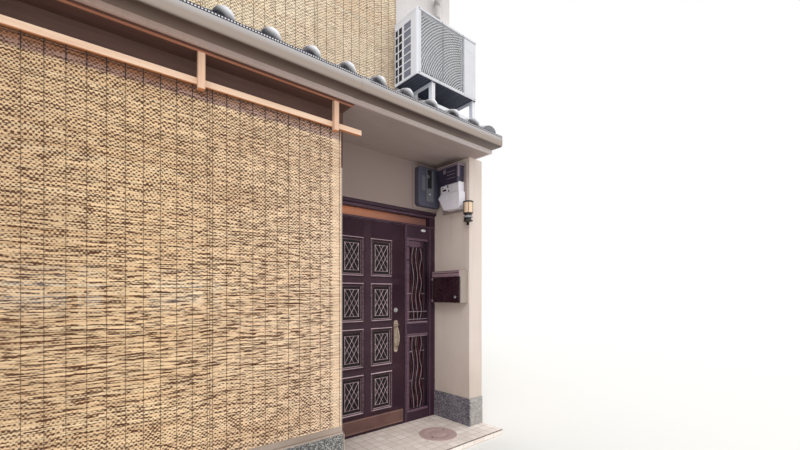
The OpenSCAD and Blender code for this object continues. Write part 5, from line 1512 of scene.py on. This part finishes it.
@dataclass
class CarvedDoor:
    """The cast door leaf: eight stepped panels with a raised lattice, a kick plate, pull and lock."""

    x0: float = 3277
    x1: float = 4177
    y0: float = 480
    y1: float = 520
    z0: float = 61
    z1: float = 2045
    first: Pair = (3437, 243)
    step: Pair = (334.6, 424)
    size: Pair = (244, 354)
    columns: int = 2
    rows: int = 4
    margin: Pair = (48, 54)
    bar: float = 5.0
    grid: float = 3.6
    sunk: float = -8
    plate: tuple[float, ...] = (4067, 777, 1093, 25)
    lock_z: float = 1192
    # Distance in from a panel's edge, and how far the casting stands proud there
    moulding: Pairs = (
        (-8, 0), (-6, 1.5), (0, 9), (4, 9.6), (14, 2), (16, 3.6), (20, 3.6), (28, -5), (32, -8), (200, -8))

    def lines(self, low: float, high: float, k: int, count: int) -> Array:
        """Grid lines in one direction: close over the panels, and sparse between them.

        Args:
            low: Where the leaf starts.
            high: Where it ends.
            k: 0 for lines across, 1 for lines up.
            count: Number of panels.

        Returns:
            The lines' places, in order.
        """
        spots = [np.array([low, low + 3, high - 3, high])]
        for i in range(count):
            a = self.first[k] + i * self.step[k]
            spots.append(np.linspace(a - 8, a + self.size[k] + 8, int((self.size[k] + 16) / self.grid)))
        return np.unique(np.concatenate(spots))

    def lattice_distance(self, u: Array, v: Array) -> Array:
        """Distance from the nearest bar of the lattice or its border.

        Args:
            u: Distance across from a panel's middle.
            v: Distance up from it.

        Returns:
            The distance.
        """
        w, h = self.size[0] / 2 - self.margin[0], self.size[1] / 2 - self.margin[1]
        near = np.minimum(np.abs(np.abs(u) - w), np.abs(np.abs(v) - h))
        for i in (-1, 1):
            for start, end in (((-w, h), (w, -h)), ((-w / 3, h), (w, -h / 3)), ((-w, h / 3), (w / 3, -h))):
                a, b = np.array(start) * [i, 1], np.array(end) * [i, 1]
                d = b - a
                t = np.clip(((u - a[0]) * d[0] + (v - a[1]) * d[1]) / (d @ d), 0, 1)
                near = np.minimum(near, np.hypot(u - a[0] - t * d[0], v - a[1] - t * d[1]))
        return near

    def proud(self, x: Array, z: Array) -> Array:
        """How far the casting stands proud: moulding by distance from a panel's edge, lattice, bevel round the leaf.

        Args:
            x: Grid of places across.
            z: Grid of heights.

        Returns:
            Heights, below zero where it is hollow.
        """
        steps = np.array(self.moulding)
        out = np.zeros_like(x)
        for i in range(self.columns):
            for j in range(self.rows):
                u = x - (self.first[0] + i * self.step[0] + self.size[0] / 2)
                v = z - (self.first[1] + j * self.step[1] + self.size[1] / 2)
                in_u, in_v = self.size[0] / 2 - np.abs(u), self.size[1] / 2 - np.abs(v)
                inward = np.minimum(in_u, in_v)
                shape = np.interp(inward, steps[:, 0], steps[:, 1])
                far = self.lattice_distance(u, v)
                ridge = np.interp(far, [0, self.bar - 2.4, self.bar + 0.2], [-2.5, -2.5, self.sunk])
                inside = (in_u > self.margin[0] - self.bar) & (in_v > self.margin[1] - self.bar)
                out = np.where(inward > -8, np.where(inside, ridge, shape), out)
        edge = np.minimum(np.minimum(x - self.x0, self.x1 - x), np.minimum(z - self.z0, self.z1 - z))
        return out - np.interp(edge, [0, 3], [2.5, 0])

    def build(self) -> None:
        """Builds the leaf, its kick plate, pull and lock."""
        x, z = np.meshgrid(self.lines(self.x0, self.x1, 0, self.columns), self.lines(self.z0, self.z1, 1, self.rows))
        h = self.proud(x, z)
        up = np.gradient(h, axis=0) / np.maximum(np.gradient(z, axis=0), 1)
        across = np.abs(np.gradient(h, axis=1) / np.maximum(np.gradient(x, axis=1), 1))
        # Tint by height: dark hollows, light lattice. Side slopes add a painted highlight; up-facing slopes painted
        # light, down-facing ones painted shade.
        tint = np.where(h == 0, 0.5, np.interp(h, [-8, -5.5, -3, 1.2, 9.6], [0.0, 0.4, 0.88, 0.5, 0.6]))
        tint = tint + np.where(h > -1.5, 0.16 * np.clip(across, 0, 1) - 0.38 * np.clip(up, -1, 1), 0)
        leaf = Form().relief(at(x, self.y0 - h, z), (0, self.y1 - self.y0, 0), np.clip(tint, 0, 1))
        leaf.piece("door_casting", "door_bronze", "door_metal", ("door_leaf",), DOOR, 50)
        x0, x1, y0, z0 = self.x0, self.x1, self.y0, self.z0
        kick = Form().slab(x0 + 14, x1 - 14, y0 - 2.2, y0 + 1, z0 + 12, z0 + 142, 1.2, 0.55)
        for z in (z0 + 20, z0 + 130):
            kick.slab(x0 + 20, x1 - 20, y0 - 4, y0, z, z + 6, 1.2, 0.9)
        kick.piece("door_kick_plate", "kick_bronze", "door_metal", body=DOOR)
        back = Form()
        for j in range(self.rows):
            for i in range(self.columns):
                a, c = self.first[0] + i * self.step[0], self.first[1] + j * self.step[1]
                b, d = a + self.size[0], c + self.size[1]
                back.slab(a, b, self.y1 - 1, self.y1 + 2, c, d, 2, 0.6)
                back.slab(a + 26, b - 26, self.y1 + 1, self.y1 + 4, c + 26, d - 26, 3, 0.4)
        back.piece("door_back_panels", "door_bronze", "door_metal", body=DOOR)
        self.pull()

    def pull(self) -> None:
        """Builds the thumb latch with its long plate, and the lock above."""
        x, low, high, half = self.plate
        turn = np.linspace(0, math.pi, 13)
        arc = half * np.stack([np.sin(turn), np.cos(turn)], -1)
        ends = np.concatenate([[high - half, x] + arc, [low + half, x] - arc])
        form = Form().prism(ends, 1, self.y0 - 5, self.y0 + 0.2, 1.5, 0.6, 2)
        t = np.linspace(0, 1, 25)
        bow = at(x, self.y0 - 4 - 46 * np.sin(math.pi * t) ** 0.55, low + 38 + t * (high - low - 96))
        form.tube(bow, 7.5 + 2.5 * np.sin(math.pi * t), 14, 0.7, 2, up=(1, 0, 0))
        for z in (low + 38, high - 58):
            form.turned([[14.5, 0], [14.5, -3], [11, -6], [8.5, -9]], at(x, self.y0 - 4.5, z), 1, 20, 0.7)
        thumb = at(x, self.y0 - np.array([3, 20, 38, 46]), high - np.array([44, 40, 40, 45]))
        form.tube(thumb, np.array([6, 8, 12, 9]), 12, 0.8, 1, 0.4, (0, 0, 1))
        rose = [[24, 0], [24, -4], [21, -8], [14.5, -9], [13.5, -14], [11.5, -16.5], [4.5, -16.5], [4, -12], [0.5, -12]]
        lock = Form().turned(rose, at(x, self.y0 + 0.2, self.lock_z), 1, 32, 0.7)
        lock.piece("door_lock_rose", "steel", "handle_brass", ("door_handle",), DOOR)
        form.slab(x - 1.2, x + 1.2, self.y0 - 17.5, self.y0 - 11, self.lock_z - 4, self.lock_z + 4, 0.4, 0.1)
        form.piece("door_pull", "brass", "handle_brass", ("door_handle",), DOOR)


@dataclass
class DoorSurround:
    """Trims of the door frame, and the iron panels of the sidelight."""

    x_light: Pair = (4213, 4500)
    x_iron: Pair = (4250, 4466)
    lights: Pairs = ((170, 920), (1070, 1900))
    iron_y: float = 495
    rods: int = 7
    swing: float = 13
    wave: float = 330
    ties: tuple[float, ...] = (1350, 756, 458)
    bands: tuple[float, ...] = (1166, 1089, 1058, 914)

    def build(self) -> None:
        """Builds beads on the frame, an oval plate, then the iron."""
        beads = Form()
        for x in (3174, 3262, 4187, 4206, 4532, 4598):
            beads.slab(x, x + 5, 476, 481, 58, 2044, 1.5, 0.75, 2)
        for z in (2055, 2160, 2172):
            beads.slab(3176, 4604, 475, 481, z, z + 5, 1.5, 0.8)
        left, right = self.x_light
        for low, high in self.lights:
            for z in (low - 22, low - 10, high + 4, high + 16):
                beads.slab(left + 2, right - 2, 475, 481, z, z + 6, 1.5, 0.9)
            for x0, x1, shade in ((left + 1, self.x_iron[0], 0.72), (self.x_iron[1], right - 1, 0.1)):
                beads.slab(x0, x1, 483, 500, low + 1, high - 1, 2, shade, 2)
        beads.slab(4230, 4484, 477, 481, 950, 1040, 3, 0.35)
        # Blocks at the head of the sidelight, and keeps on its broad strip
        beads.slab(np.array([4252, 4400]), np.array([4388, 4446]), 484, 500, 1832, 1896, 3, np.array([0.7, 0.55]))
        for z, shade in ((1826, 0.0), (1690, 0.0), (1350, 1.0)):
            beads.slab(4216, 4249, 480, 484, z, z + 12, 2, shade)
        beads.piece("door_frame_beads", "frame_bronze", "door_metal")
        dome = np.array([[0.96, 2], [1.0, 0], [1.0, -3], [0.9, -5], [0.02, -6]])
        oval = Form().loft(revolve(dome, 1, circle(ROUND) * [14, 34]) + at(4440, 480, 2014))
        oval.piece("oval_plate", "unit_shell", "door_metal")
        self.ironwork()

    def ironwork(self) -> None:
        """Builds the iron: round rods that swing from side to side in crossing pairs, with edge bars and ties."""
        form = Form()
        x0, x1 = self.x_iron
        y = self.iron_y
        k = np.arange(self.rods)
        middles = x0 + 14 + (k + 0.5) * (x1 - x0 - 28) / self.rods
        for low, high in self.lights:
            t = np.linspace(low + 2, high - 2, 84)
            turn = (t - low) / (self.wave * (1 + 0.3 * np.sin(k * 2.4)))[:, None] * TURN
            x = middles[:, None] + self.swing * np.sin(turn + (k * 2.2 + 1.4 * np.sin(k * 5.1))[:, None])
            # The thin front rods are tinted light, every other one near the lightest bronze tone, as painted highlights
            # of the iron; the thick rods behind are dark.
            form.tube(at(x, y - 2, t), 2.6, 7, 0.62 + 0.25 * (k % 2), 2)
            form.tube(at(x[:, ::-1], y + 5, t), 5.2, 7, 0.06, 2)
            for z in (low + 1, high - 9):
                form.slab(x0 + 0.5, x1 - 0.5, y - 4, y + 4, z, z + 8, 2, 0.6)
            for side in (x0 + 0.5, x1 - 7.5):
                form.slab(side, side + 7, y - 4, y + 4, low, high, 1.5, 0.45, 2)
        ties, bands = np.array(self.ties), np.array(self.bands)
        form.slab(x0 - 30, x1 + 20, 473, 479, bands, bands + 5, tint=0.9)
        for side in (x0 + 2, x1 - 42):
            form.slab(side, side + 40, y - 6, y - 2, ties, ties + 6, tint=0.85)
        form.piece("sidelight_iron", "grille_iron", "iron", ("sidelight_grille",))


@dataclass
class Porch:
    """The porch's small floor tiles, its edge tiles, and the cast drain cover."""

    step: tuple[float, ...] = (2970, 4800, -250, -10)
    recess: tuple[float, ...] = (3170, 4610, -6, 566)
    z: float = 50
    tile: float = 88
    joint: float = 4
    cover: tuple[float, float, float] = (4226, 50, 175)
    cover_z: float = 49.4

    def strip(self, form: Form, oblong: tuple[float, ...], rng: np.random.Generator) -> None:
        """Lays tiles over one oblong, the cut ones last.

        Args:
            form: The tiles' form.
            oblong: Its left and right side, front and back.
            rng: Seeded numbers.
        """
        x0, x1, y0, y1 = oblong
        x, y = (g.ravel() for g in np.meshgrid(np.arange(x0, x1 - 20, self.tile), np.arange(y0, y1 - 20, self.tile)))
        ends = []
        for start, last in ((x, x1), (y, y1)):
            end = np.minimum(start + self.tile - self.joint, last)
            ends.append(np.where(last - end < 24, last, end))
        form.slab(x, ends[0], y, ends[1], self.z - 9, self.z + 0.6, 1.4, varied(rng, len(x), spread=0.2))

    def build(self) -> None:
        """Builds the tiles and the cover."""
        rng = np.random.default_rng(5)
        form = Form()
        self.strip(form, self.step, rng)
        self.strip(form, self.recess, rng)
        x0, x1, y0, _ = self.step
        n = int((x1 - x0) // (self.tile * 1.5))
        cuts = np.linspace(x0, x1, n + 1)
        form.slab(cuts[:-1], cuts[1:] - self.joint, y0 - 3, y0 + 4, 3, self.z - 10, 1.5, varied(rng, n, spread=0.2))
        form.piece("porch_floor_tiles", "porch_tile", "porch_tile")
        cx, cy, r = self.cover
        rings = [[r, 0], [r, 4.6], [r - 2, 5.6], [r - 12, 5.6], [r - 14, 3.4], [r - 20, 3.4], [r - 22, 5.2],
                 [r / 2, 5.2], [r / 2 - 3, 3.8], [r / 2 - 7, 3.8], [r / 2 - 10, 5.4], [1, 5.6]]
        lid = Form().turned(rings, at(cx, cy, self.cover_z), 2, 48)
        for radius, size in ((r * 0.7, 7.0), (r * 0.33, 5.0)):
            stud = [[size, 5], [size, 6.4], [size - 1.5, 7.2], [0.5, 7.2]]
            x, y = radius * circle(24).T
            lid.turned(stud, at(cx + x, cy + y, self.cover_z), 2, 10, 0.8)
        lid.piece("cover_casting", "cast_cover", "drain_iron")
        x, y = np.array([[-0.62, 0.62], [-0.2, 0.2]]) * r
        holes = Form().turned([[9, 0], [9, 7.4], [0.5, 7.5]], at(cx + x, cy + y, self.cover_z), 2, 16, 0.1)
        holes.piece("cover_lifting_holes", "rubber", "drain_iron")


# ---- fittings

@dataclass
class OutdoorUnit:
    """The outdoor unit's fan, coil, seams, panels, screws and feet, and a dark plate underneath as painted shade."""

    x0: float = 3885
    x1: float = 4666
    y0: float = -44
    y1: float = 266
    z0: float = 3240
    z1: float = 3810
    mouth: tuple[float, float, float] = (4204, 3525, 259)
    grille: tuple[float, ...] = (3928, 4480, 3262, 3788)
    slot: tuple[float, ...] = (3262, 70, 95, 60)
    slot_y: tuple[float, ...] = (43.25, 163.25)
    slots: int = 7
    swirl: Pair = (4560, 3120)

    def coil(self) -> None:
        """Builds the dark fins behind the grille, round the fan's mouth, and those in the side's openings."""
        x0, x1, z0, z1 = self.grille
        cx, cz, r = self.mouth
        x = np.arange(x0 + 2, x1 - 6, 6.0)
        half = np.sqrt(np.clip((r + 1) ** 2 - (x + 3 - cx) ** 2, 0, None))
        form = Form().slab(x, x + 6, -9, -3.8, z0 + 1, np.maximum(cz - half, z0 + 3))
        form.slab(x, x + 6, -9, -3.8, np.minimum(cz + half, z1 - 3), z1 - 1)
        form.turned([[r - 1, 36], [r - 1, 33], [0.5, 33]], at(cx, 0, cz), 1, 40)
        form.piece("unit_front_coil", "unit_dark", "unit_white")
        ribs = np.linspace(x0 + 3, x1 - 7, 3)
        form = Form().slab(ribs, ribs + 4, self.y0 + 5, self.y0 + 11, z0 + 1, z1 - 1, 0.8, 0.5, 2)
        form.piece("unit_grille_ribs", "unit_coil", "unit_white")
        z = np.arange(z0 + 3.0, z1 - 3, 11.86)
        bars = Form().slab(x0 + 1, x1 - 1, self.y0 + 2, self.y0 + 5, z, z + 2.4, 0.6)
        bars.piece("unit_grille_bars", "stand_paint", "unit_white", ("unit_grille",))
        swirl = Form()
        turn = np.linspace(0, math.pi, 300)
        for radius in np.arange(60, 1200, 21.0):
            px, pz = self.swirl[0] + radius * np.cos(turn), self.swirl[1] + radius * np.sin(turn)
            inside = np.flatnonzero((px > x0 + 4) & (px < x1 - 4) & (pz > z0 + 4) & (pz < z1 - 4))
            for run in np.split(inside, np.flatnonzero(np.diff(inside) > 1) + 1):
                if len(run) > 3:
                    swirl.tube(at(px[run], -30, pz[run])[::max(1, len(run) // 16)], 4, 4)
        swirl.piece("unit_fan_guard", "stand_paint", "unit_white")
        low, step, wide, high = self.slot
        fins = np.arange(2, wide - 4, 7.0)
        y, k, f = (g.ravel() for g in np.meshgrid(self.slot_y, np.arange(self.slots), fins))
        z = low + k * step
        side = Form().slab(self.x0 + 3, self.x0 + 21.6, y + f, y + f + 6.4, z + 0.5, z + high - 0.5, 0.8,
                           np.where(y < 100, 1.0, 0.0))
        side.piece("unit_side_coil", "coil_fins", "unit_white")

    def fan(self) -> None:
        """Builds the fan: three swept blades, each a grid between a leading and a trailing edge, a hub and a rim."""
        form = Form()
        cx, cz, r = self.mouth
        s = np.linspace(0, 1, 14)
        share = np.linspace(0, 1, 8)[:, None]
        radius = 46 + s * (r - 60)
        for turn in np.arange(3) * TURN / 3:
            a = turn + 0.5 * s + (1.35 - 0.25 * s) * share
            form.relief(at(cx + radius * np.cos(a), 24 - 20 * share, cz + radius * np.sin(a)), (0, 3, 0))
        form.turned([[52, 30], [52, -4], [44, -12], [20, -16], [0.5, -17]], at(cx, 8, cz), 1, 32)
        form.turned([[r, -4], [r, -10], [r - 3, -13], [r - 8, -12], [r - 9, 0]], at(cx, 0, cz), 1, 48)
        form.piece("unit_fan", "unit_coil", "unit_white")

    def build(self) -> None:
        """Builds the coil and fan, then the panels, seams, screws and back guard."""
        self.coil()
        self.fan()
        x0, x1, y0, y1, z0, z1, edge = self.x0, self.x1, self.y0, self.y1, self.z0, self.z1, self.grille[1]
        shell = Form().slab(edge + 8, x1 - 34, y0 - 1.6, y0 + 1, z0 + 14, z1 - 30, 1.2)
        shell.slab(edge + 38, x1 - 74, y0 - 3, y0, z1 - 130, z1 - 70, 1.2)
        shell.slab(x1 - 1, x1 + 12, y0 + 90, y1 - 60, z0 + 40, z0 + 330, 4)
        shell.slab(x0 + 30, x1 - 30, y0 + 40, y1 - 30, z1 + 1.5, z1 + 4.5, 2)
        shell.slab(x0 - 2.5, x0 + 1, 206, 219, z0 + 8, z1 - 22)
        dark = Form().slab(x0 + 22, x1 - 22, y0 - 2.3, y0 + 1, z1 - 20, z1 - 17.5, 0.3)
        dark.slab(edge + 3, edge + 5, y0 - 0.6, y0 + 1, z0 + 8, z1 - 20, 0.2)
        dark.slab(x1 - 150, x1 - 40, y1 - 1, y1 + 1.5, z0 + 40, z1 - 60)
        # A dark plate under the unit stands for painted shade; the feet sit in the same spans.
        under = np.array([[x0 + 8, 4070], [4082, 4621], [4633, x1 - 8]])
        dark.slab(under[:, 0], under[:, 1], y0 + 8, y1 - 8, z0 - 3, z0 + 1)
        feet = Form()
        for left, right in under:
            cuts = np.linspace(left + 30, right - 50, 4)
            feet.slab(cuts, cuts + 7, y0 + 24, y1 - 60, z0 - 4, z0 + 1)
        spots = at(np.array([3905, 4190, 4468, 4640, 4640, 3905]), y0 - 2, np.array([z1 - 9] * 4 + [z0 + 12] * 2))
        dark.turned([[4.5, 1], [4.2, -1.2], [2.5, -2.2], [0.3, -2.2]], spots, 1, 12)
        shell.piece("unit_panels", "unit_shell", "unit_white")
        feet.piece("unit_foot_ribs", "unit_coil", "unit_white")
        dark.piece("unit_seams_screws_and_shade_plate", "unit_dark", "unit_white")
        fins = np.arange(x0 + 60, x1 - 190, 13.0)
        rows = np.arange(z0 + 60, z1 - 60, 62.0)
        back = Form().slab(fins, fins + 3, y1 - 1, y1 + 5, z0 + 40, z1 - 50, 0.6)
        back.slab(x0 + 56, x1 - 186, y1 + 3, y1 + 7, rows, rows + 3, 0.6)
        back.piece("unit_back_guard", "unit_grey", "unit_white")


@dataclass
class LetterBox:
    """Door panel, knob, flap, seams, rivets and edge trims of the letter box."""

    x_face: float = 4487
    knob: Pairs = (
        (12, 4), (12, -2), (6, -5), (6, -11), (12.5, -14), (13.5, -19), (11, -24), (0.5, -25.5))
    rivet: Pairs = ((4, 2), (4, -1), (2.5, -2.2), (0.3, -2.5))

    def build(self) -> None:
        """Builds the box's trims, those of the door on the door's body."""
        x = self.x_face
        panel = Form().slab(x - 1.5, x + 1, 38, 380, 1282, 1509, 1.2)
        panel.piece("letter_door_panel", "letter_red", "mailbox_door", body=LETTER_DOOR)
        knob = Form().turned(self.knob, at(x - 0.2, 63.6, 1320), 0, ROUND)
        knob.piece("letter_door_knob", "steel", "mailbox_door", body=LETTER_DOOR)
        flap, case = Form(), Form()
        for z0, z1, shade in ((1522, 1532, 0.9), (1534, 1554, 0.5), (1560, 1580, 0.4)):
            flap.slab(4485, 4489, 23, 393, z0, z1, tint=shade)
        flap.piece("letter_flap", "letter_mauve", "mailbox_metal")
        seam = Form().slab(4484.2, 4489, 23, 393, np.array([1530, 1554, 1575]), np.array([1534, 1560, 1578]), 0.5)
        seam.piece("letter_flap_seams", "box_black", "mailbox_metal")
        for z in (1282, 1360, 1440, 1560):
            case.turned(self.rivet, at(np.array([4520, 4590]), 22, z), 1, 12)
        case.slabs(tuple((4503.5, 4609, *edge) for edge in (
            (20, 23, 1263, 1583), (22, 394, 1581, 1584), (392, 395, 1263, 1583), (22, 394, 1261.5, 1264))))
        case.piece("letter_case_trims", "letter_case", "mailbox_metal")


@dataclass
class WallFittings:
    """The breaker casing, the electricity meter and the wall lamp."""

    lamp: Pair = (4564, -24)
    upper: Pairs = ((58, 2362), (304, 2362), (304, 2478), (58, 2464))
    lower: Pairs = (
        (42, 2216), (70, 2190), (258, 2200), (334, 2330), (300, 2366), (42, 2360))

    def rounded(self, low: Pair, high: Pair, corner: float) -> Array:
        """Outline (z, x) of an oblong with round corners: its middle + half sizes by sign + corner (cos a, sin a).

        Args:
            low: Lowest x and z.
            high: Highest x and z.
            corner: Radius of the corners.

        Returns:
            Points (40, 2).
        """
        low, high = np.array(low) + corner, np.array(high) - corner
        turn = np.linspace(0, TURN, 41)[:-1] + 0.001
        wave = np.stack([np.cos(turn), np.sin(turn)], -1)
        return ((low + high) / 2 + (high - low) / 2 * np.sign(wave) + corner * wave)[:, ::-1]

    def breaker(self) -> None:
        """Builds the breaker casing: board, rounded cover with a raised middle, its window and light."""
        board = Form().slab(4260, 4592, 434, 446, 2227, 2659, 2)
        board.piece("breaker_board", "board_taupe", "box_plastic", ("breaker_box",))
        cover = Form().prism(self.rounded((4276, 2243), (4576, 2643), 34), 1, 370, 434.5, 5)
        raised = Form().prism(self.rounded((4376, 2290), (4476, 2622), 14), 1, 358, 372, 5)
        for z in (2370, 2510):
            cover.slab(4279, 4573, 368.5, 372, z, z + 3, 0.8)
        cover.piece("breaker_cover", "box_charcoal", "box_plastic", ("breaker_box",))
        raised.slab(4322, 4366, 366, 372, 2400, 2550, 3).slab(4384, 4412, 353, 360, 2530, 2560, 4)
        raised.piece("breaker_raised_strip", "box_grey", "box_plastic")
        Form().slab(4386, 4444, 356.5, 360, 2428, 2616, 2).piece("breaker_window", "box_black", "box_plastic")
        light = Form().turned([[7, 2], [7, -2], [4.5, -4], [0.3, -4.5]], at(4420, 358, 2367), 1, 16)
        light.piece("breaker_light", "meter_silver", "box_plastic")

    def meter(self) -> None:
        """Builds the meter: board, dark glass in a lilac frame, and a pale cover in two parts with dark marks."""
        board = Form().slab(4598, 4610, 34, 350, 2175, 2645, 2)
        board.piece("meter_board", "board_taupe", "meter_plastic", ("electric_meter",))
        cover = Form()
        for points, x in ((self.upper, 4521), (self.lower, 4512)):
            cover.prism(np.array(points, float), 0, x, 4598.5, 4)
        cover.piece("meter_cover", "meter_silver", "meter_plastic", ("electric_meter",))
        glass = Form().slab(4503, 4598.5, 58, 326, 2450, 2616, 8)
        glass.piece("meter_window", "meter_glass", "meter_plastic", ("electric_meter",))
        frame = Form().slabs(((4497, 4604, 46, 338, 2614, 2632), (4499, 4520, 46, 66, 2500, 2616)), 3)
        frame.slab(4501, 4505, 214, 250, 2560, 2600)
        frame.slab(4501, 4505, 90, 200, np.array([2500, 2534, 2566]), np.array([2506, 2540, 2572]))
        frame.piece("meter_frame", "meter_lilac", "meter_plastic")
        marks = Form().slabs(tuple((4519.4, 4523, *mark) for mark in (
            (226, 276, 2392, 2412), (196, 214, 2420, 2446), (244, 292, 2446, 2458), (206, 232, 2462, 2474),
            (262, 284, 2424, 2434), (186, 198, 2376, 2400), (70, 296, 2360, 2363.5), (150, 190, 2216, 2219))))
        marks.piece("meter_marks", "box_black", "meter_plastic")

    def build(self) -> None:
        """Builds the fittings, the lamp last."""
        self.breaker()
        self.meter()
        axis = at(*self.lamp, 0)
        rings = Form().turned([[36, 2052], [45.5, 2056], [45.5, 2062], [36, 2066]], axis, 2, 32)
        rings.turned([[47, 2236], [50, 2238], [50, 2246], [44, 2250], [0.5, 2252]], axis, 2, 32)
        rings.piece("lamp_rings", "lamp_black", "lamp_metal")
        band = Form().turned([[36, 2088], [42.5, 2090], [43.5, 2106], [36, 2108]], axis, 2, 32)
        band.piece("lamp_band", "unit_grey", "lamp_metal")


@dataclass
class WallTrims:
    """Cap of the stone base, and the windows' pulls, sills and seals."""

    # x from and to, z from and to, the frame's face, the number of sashes, and which way out is
    windows: tuple[tuple[float, float, float, float, float, int, int], ...] = (
        (341, 2941, 420, 2270, 22, 4, -1), (800, 3800, 3350, 4650, 468, 4, -1), (415, 2055, 900, 2000, 7704, 2, 1),
        (2745, 4385, 900, 2000, 7704, 2, 1), (415, 2055, 3750, 4850, 7704, 2, 1), (2745, 4385, 3750, 4850, 7704, 2, 1))

    def build(self) -> None:
        """Builds the trims."""
        cap = Form().slabs(((190, 3183, -13, 2, 312, 326), (3168, 3183, -13, 446, 312, 326),
                            (190, 4610, 7724, 7739, 312, 326)), 3)
        cap.slab(3176, 3183, -13, -4, 4, 314, 2, axis=2)
        cap.piece("base_cap", "plaster_cream", "plaster")
        pulls, seals = Form(), Form()
        for x0, x1, z0, z1, y, count, out in self.windows:
            face, middle = y + out * 3, (z0 + z1) / 2
            for i in range(count):
                x = x0 + i * (x1 - x0) / count
                pulls.slab(x + 34, x + 48, face - 3, face + 3, middle - 60, middle + 60, 2, axis=2)
            pulls.slab(x0 - 6, x1 + 6, y + out * 6 - 6, y + out * 6 + 6, z0 - 10, z0 + 2, 2)
            for z in (z0 + 30, z1 - 34):
                seals.slab(x0 + 30, x1 - 30, y - out * 16 - 2, y - out * 16 + 2, z, z + 4)
        pulls.piece("window_pulls_and_sills", "window_silver", "window_metal")
        seals.piece("window_seals", "rubber", "window_metal")


# ---- picture

@dataclass
class Studio:
    """Camera at the photograph's viewpoint, plain floor, soft sun, and a world that looks white. In metres."""

    place: tuple[float, float, float] = (-0.72, -6.558, 1.35)
    turn: float = -39.5
    lens: float = 17.325
    shift: float = 0.08625
    ambient: float = 1.2
    sun: float = 0.7
    reach: float = 60.0

    def stand(self, name: str, data: bpy.types.ID) -> bpy.types.Object:
        """Puts a camera, lamp or mesh into the scene."""
        thing = bpy.data.objects.new(name, data)
        bpy.context.scene.collection.objects.link(thing)
        return thing

    def camera(self) -> None:
        """Creates the camera and makes it the scene's."""
        data = bpy.data.cameras.new("camera")
        data.sensor_width, data.lens, data.shift_y, data.clip_start = 36.0, self.lens, self.shift, 0.05
        thing = self.stand("camera", data)
        thing.location = self.place
        thing.rotation_euler = (math.radians(90), 0, math.radians(self.turn))
        bpy.context.scene.camera = thing

    def light(self) -> None:
        """Creates the sun, and a world whose own light is soft but which looks white."""
        bpy.context.scene.view_settings.view_transform = "Standard"
        lamp = bpy.data.lights.new("sun", "SUN")
        lamp.energy, lamp.angle, lamp.color = self.sun, math.radians(25), (1.0, 0.97, 0.93)
        self.stand("sun", lamp).rotation_euler = (math.radians(55), 0, math.radians(-48))
        world = bpy.data.worlds.new("studio")
        bpy.context.scene.world = world
        world.use_nodes = True
        tree = Nodes(world.node_tree)
        path = tree.node("LightPath", {})
        camera, glossy, through = (
            Value(tree, path.outputs[f"Is {kind} Ray"]) for kind in ("Camera", "Glossy", "Transmission"))
        seen = tree.math("MAXIMUM", tree.math("MAXIMUM", camera, glossy), through)
        shade = tree.node("Background", {"Color": (1.0, 1.0, 1.0), "Strength": seen.span(0.0, 1.0, self.ambient, 1.0)})
        tree.node("OutputWorld", {"Surface": Value(tree, shade.outputs["Background"])})

    def floor(self) -> None:
        """Creates the pale floor under the house."""
        mesh = bpy.data.meshes.new("floor")
        a = self.reach
        mesh.from_pydata([(-a, -a, 0), (a, -a, 0), (a, a, 0), (-a, a, 0)], [], [(0, 1, 2, 3)])
        mesh.materials.append(Recipe("floor_paint").finish(tone(232, 231, 228), 0.9))
        self.stand("floor", mesh)


def main() -> None:
    """Builds the whole scene in order."""
    logging.basicConfig(level=logging.INFO, format="%(message)s", stream=sys.stdout)
    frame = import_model()
    studio = Studio()
    studio.camera()
    studio.light()
    studio.floor()
    shades = Shades()
    shades.make()
    shades.dress(frame)
    parts = [
        TiledSlope("pent_roof_tiles", "pent_tiles", 90, 4710, -224, 2845.96, 0.4, 670, left=201, finish="smoked_tile"),
        TiledSlope("front_roof_tiles", "main_tiles_front", 0, 4800, -200, 4858, 0.45, 4156),
        TiledSlope("back_roof_tiles", "main_tiles_back", 0, 4800, -200, 4858, 0.45, 4156, mirrored=True),
        ReedScreen("lower_reed_blinds", "lower_screens_reed", 519, 3098, 3, -104, 410, 2522, 2514, 0.5),
        ReedScreen("upper_reed_blinds", "upper_screens_reed", 654, 3924, 4, 296, 3163, 4630, 4660, 0.95,
                   "reed_upper", ties=False),
        Ridge(),
        Gutter("pent_gutter", "pent_gutter", "gutter_taupe", netted=True),
        Gutter("front_gutter", "gutter_front"),
        Gutter("back_gutter", "gutter_back", facing=1),
        Downpipes(((4560, 396, 4400, 1), (4560, 396, 3700, 1), (150, -50, 2400, 1), (150, -50, 1250, 1),
                   (4560, 7776, 4300, -1), (4560, 7776, 2600, -1), (4560, 7776, 900, -1))),
        ScreenTimbers(), CarvedDoor(), DoorSurround(), Porch(), OutdoorUnit(), LetterBox(), WallFittings(),
        WallTrims(),
    ]
    for part in parts:
        part.build()
        LOG.info("%s is done", type(part).__name__)
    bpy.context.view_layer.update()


if __name__ == "__main__":
    main()
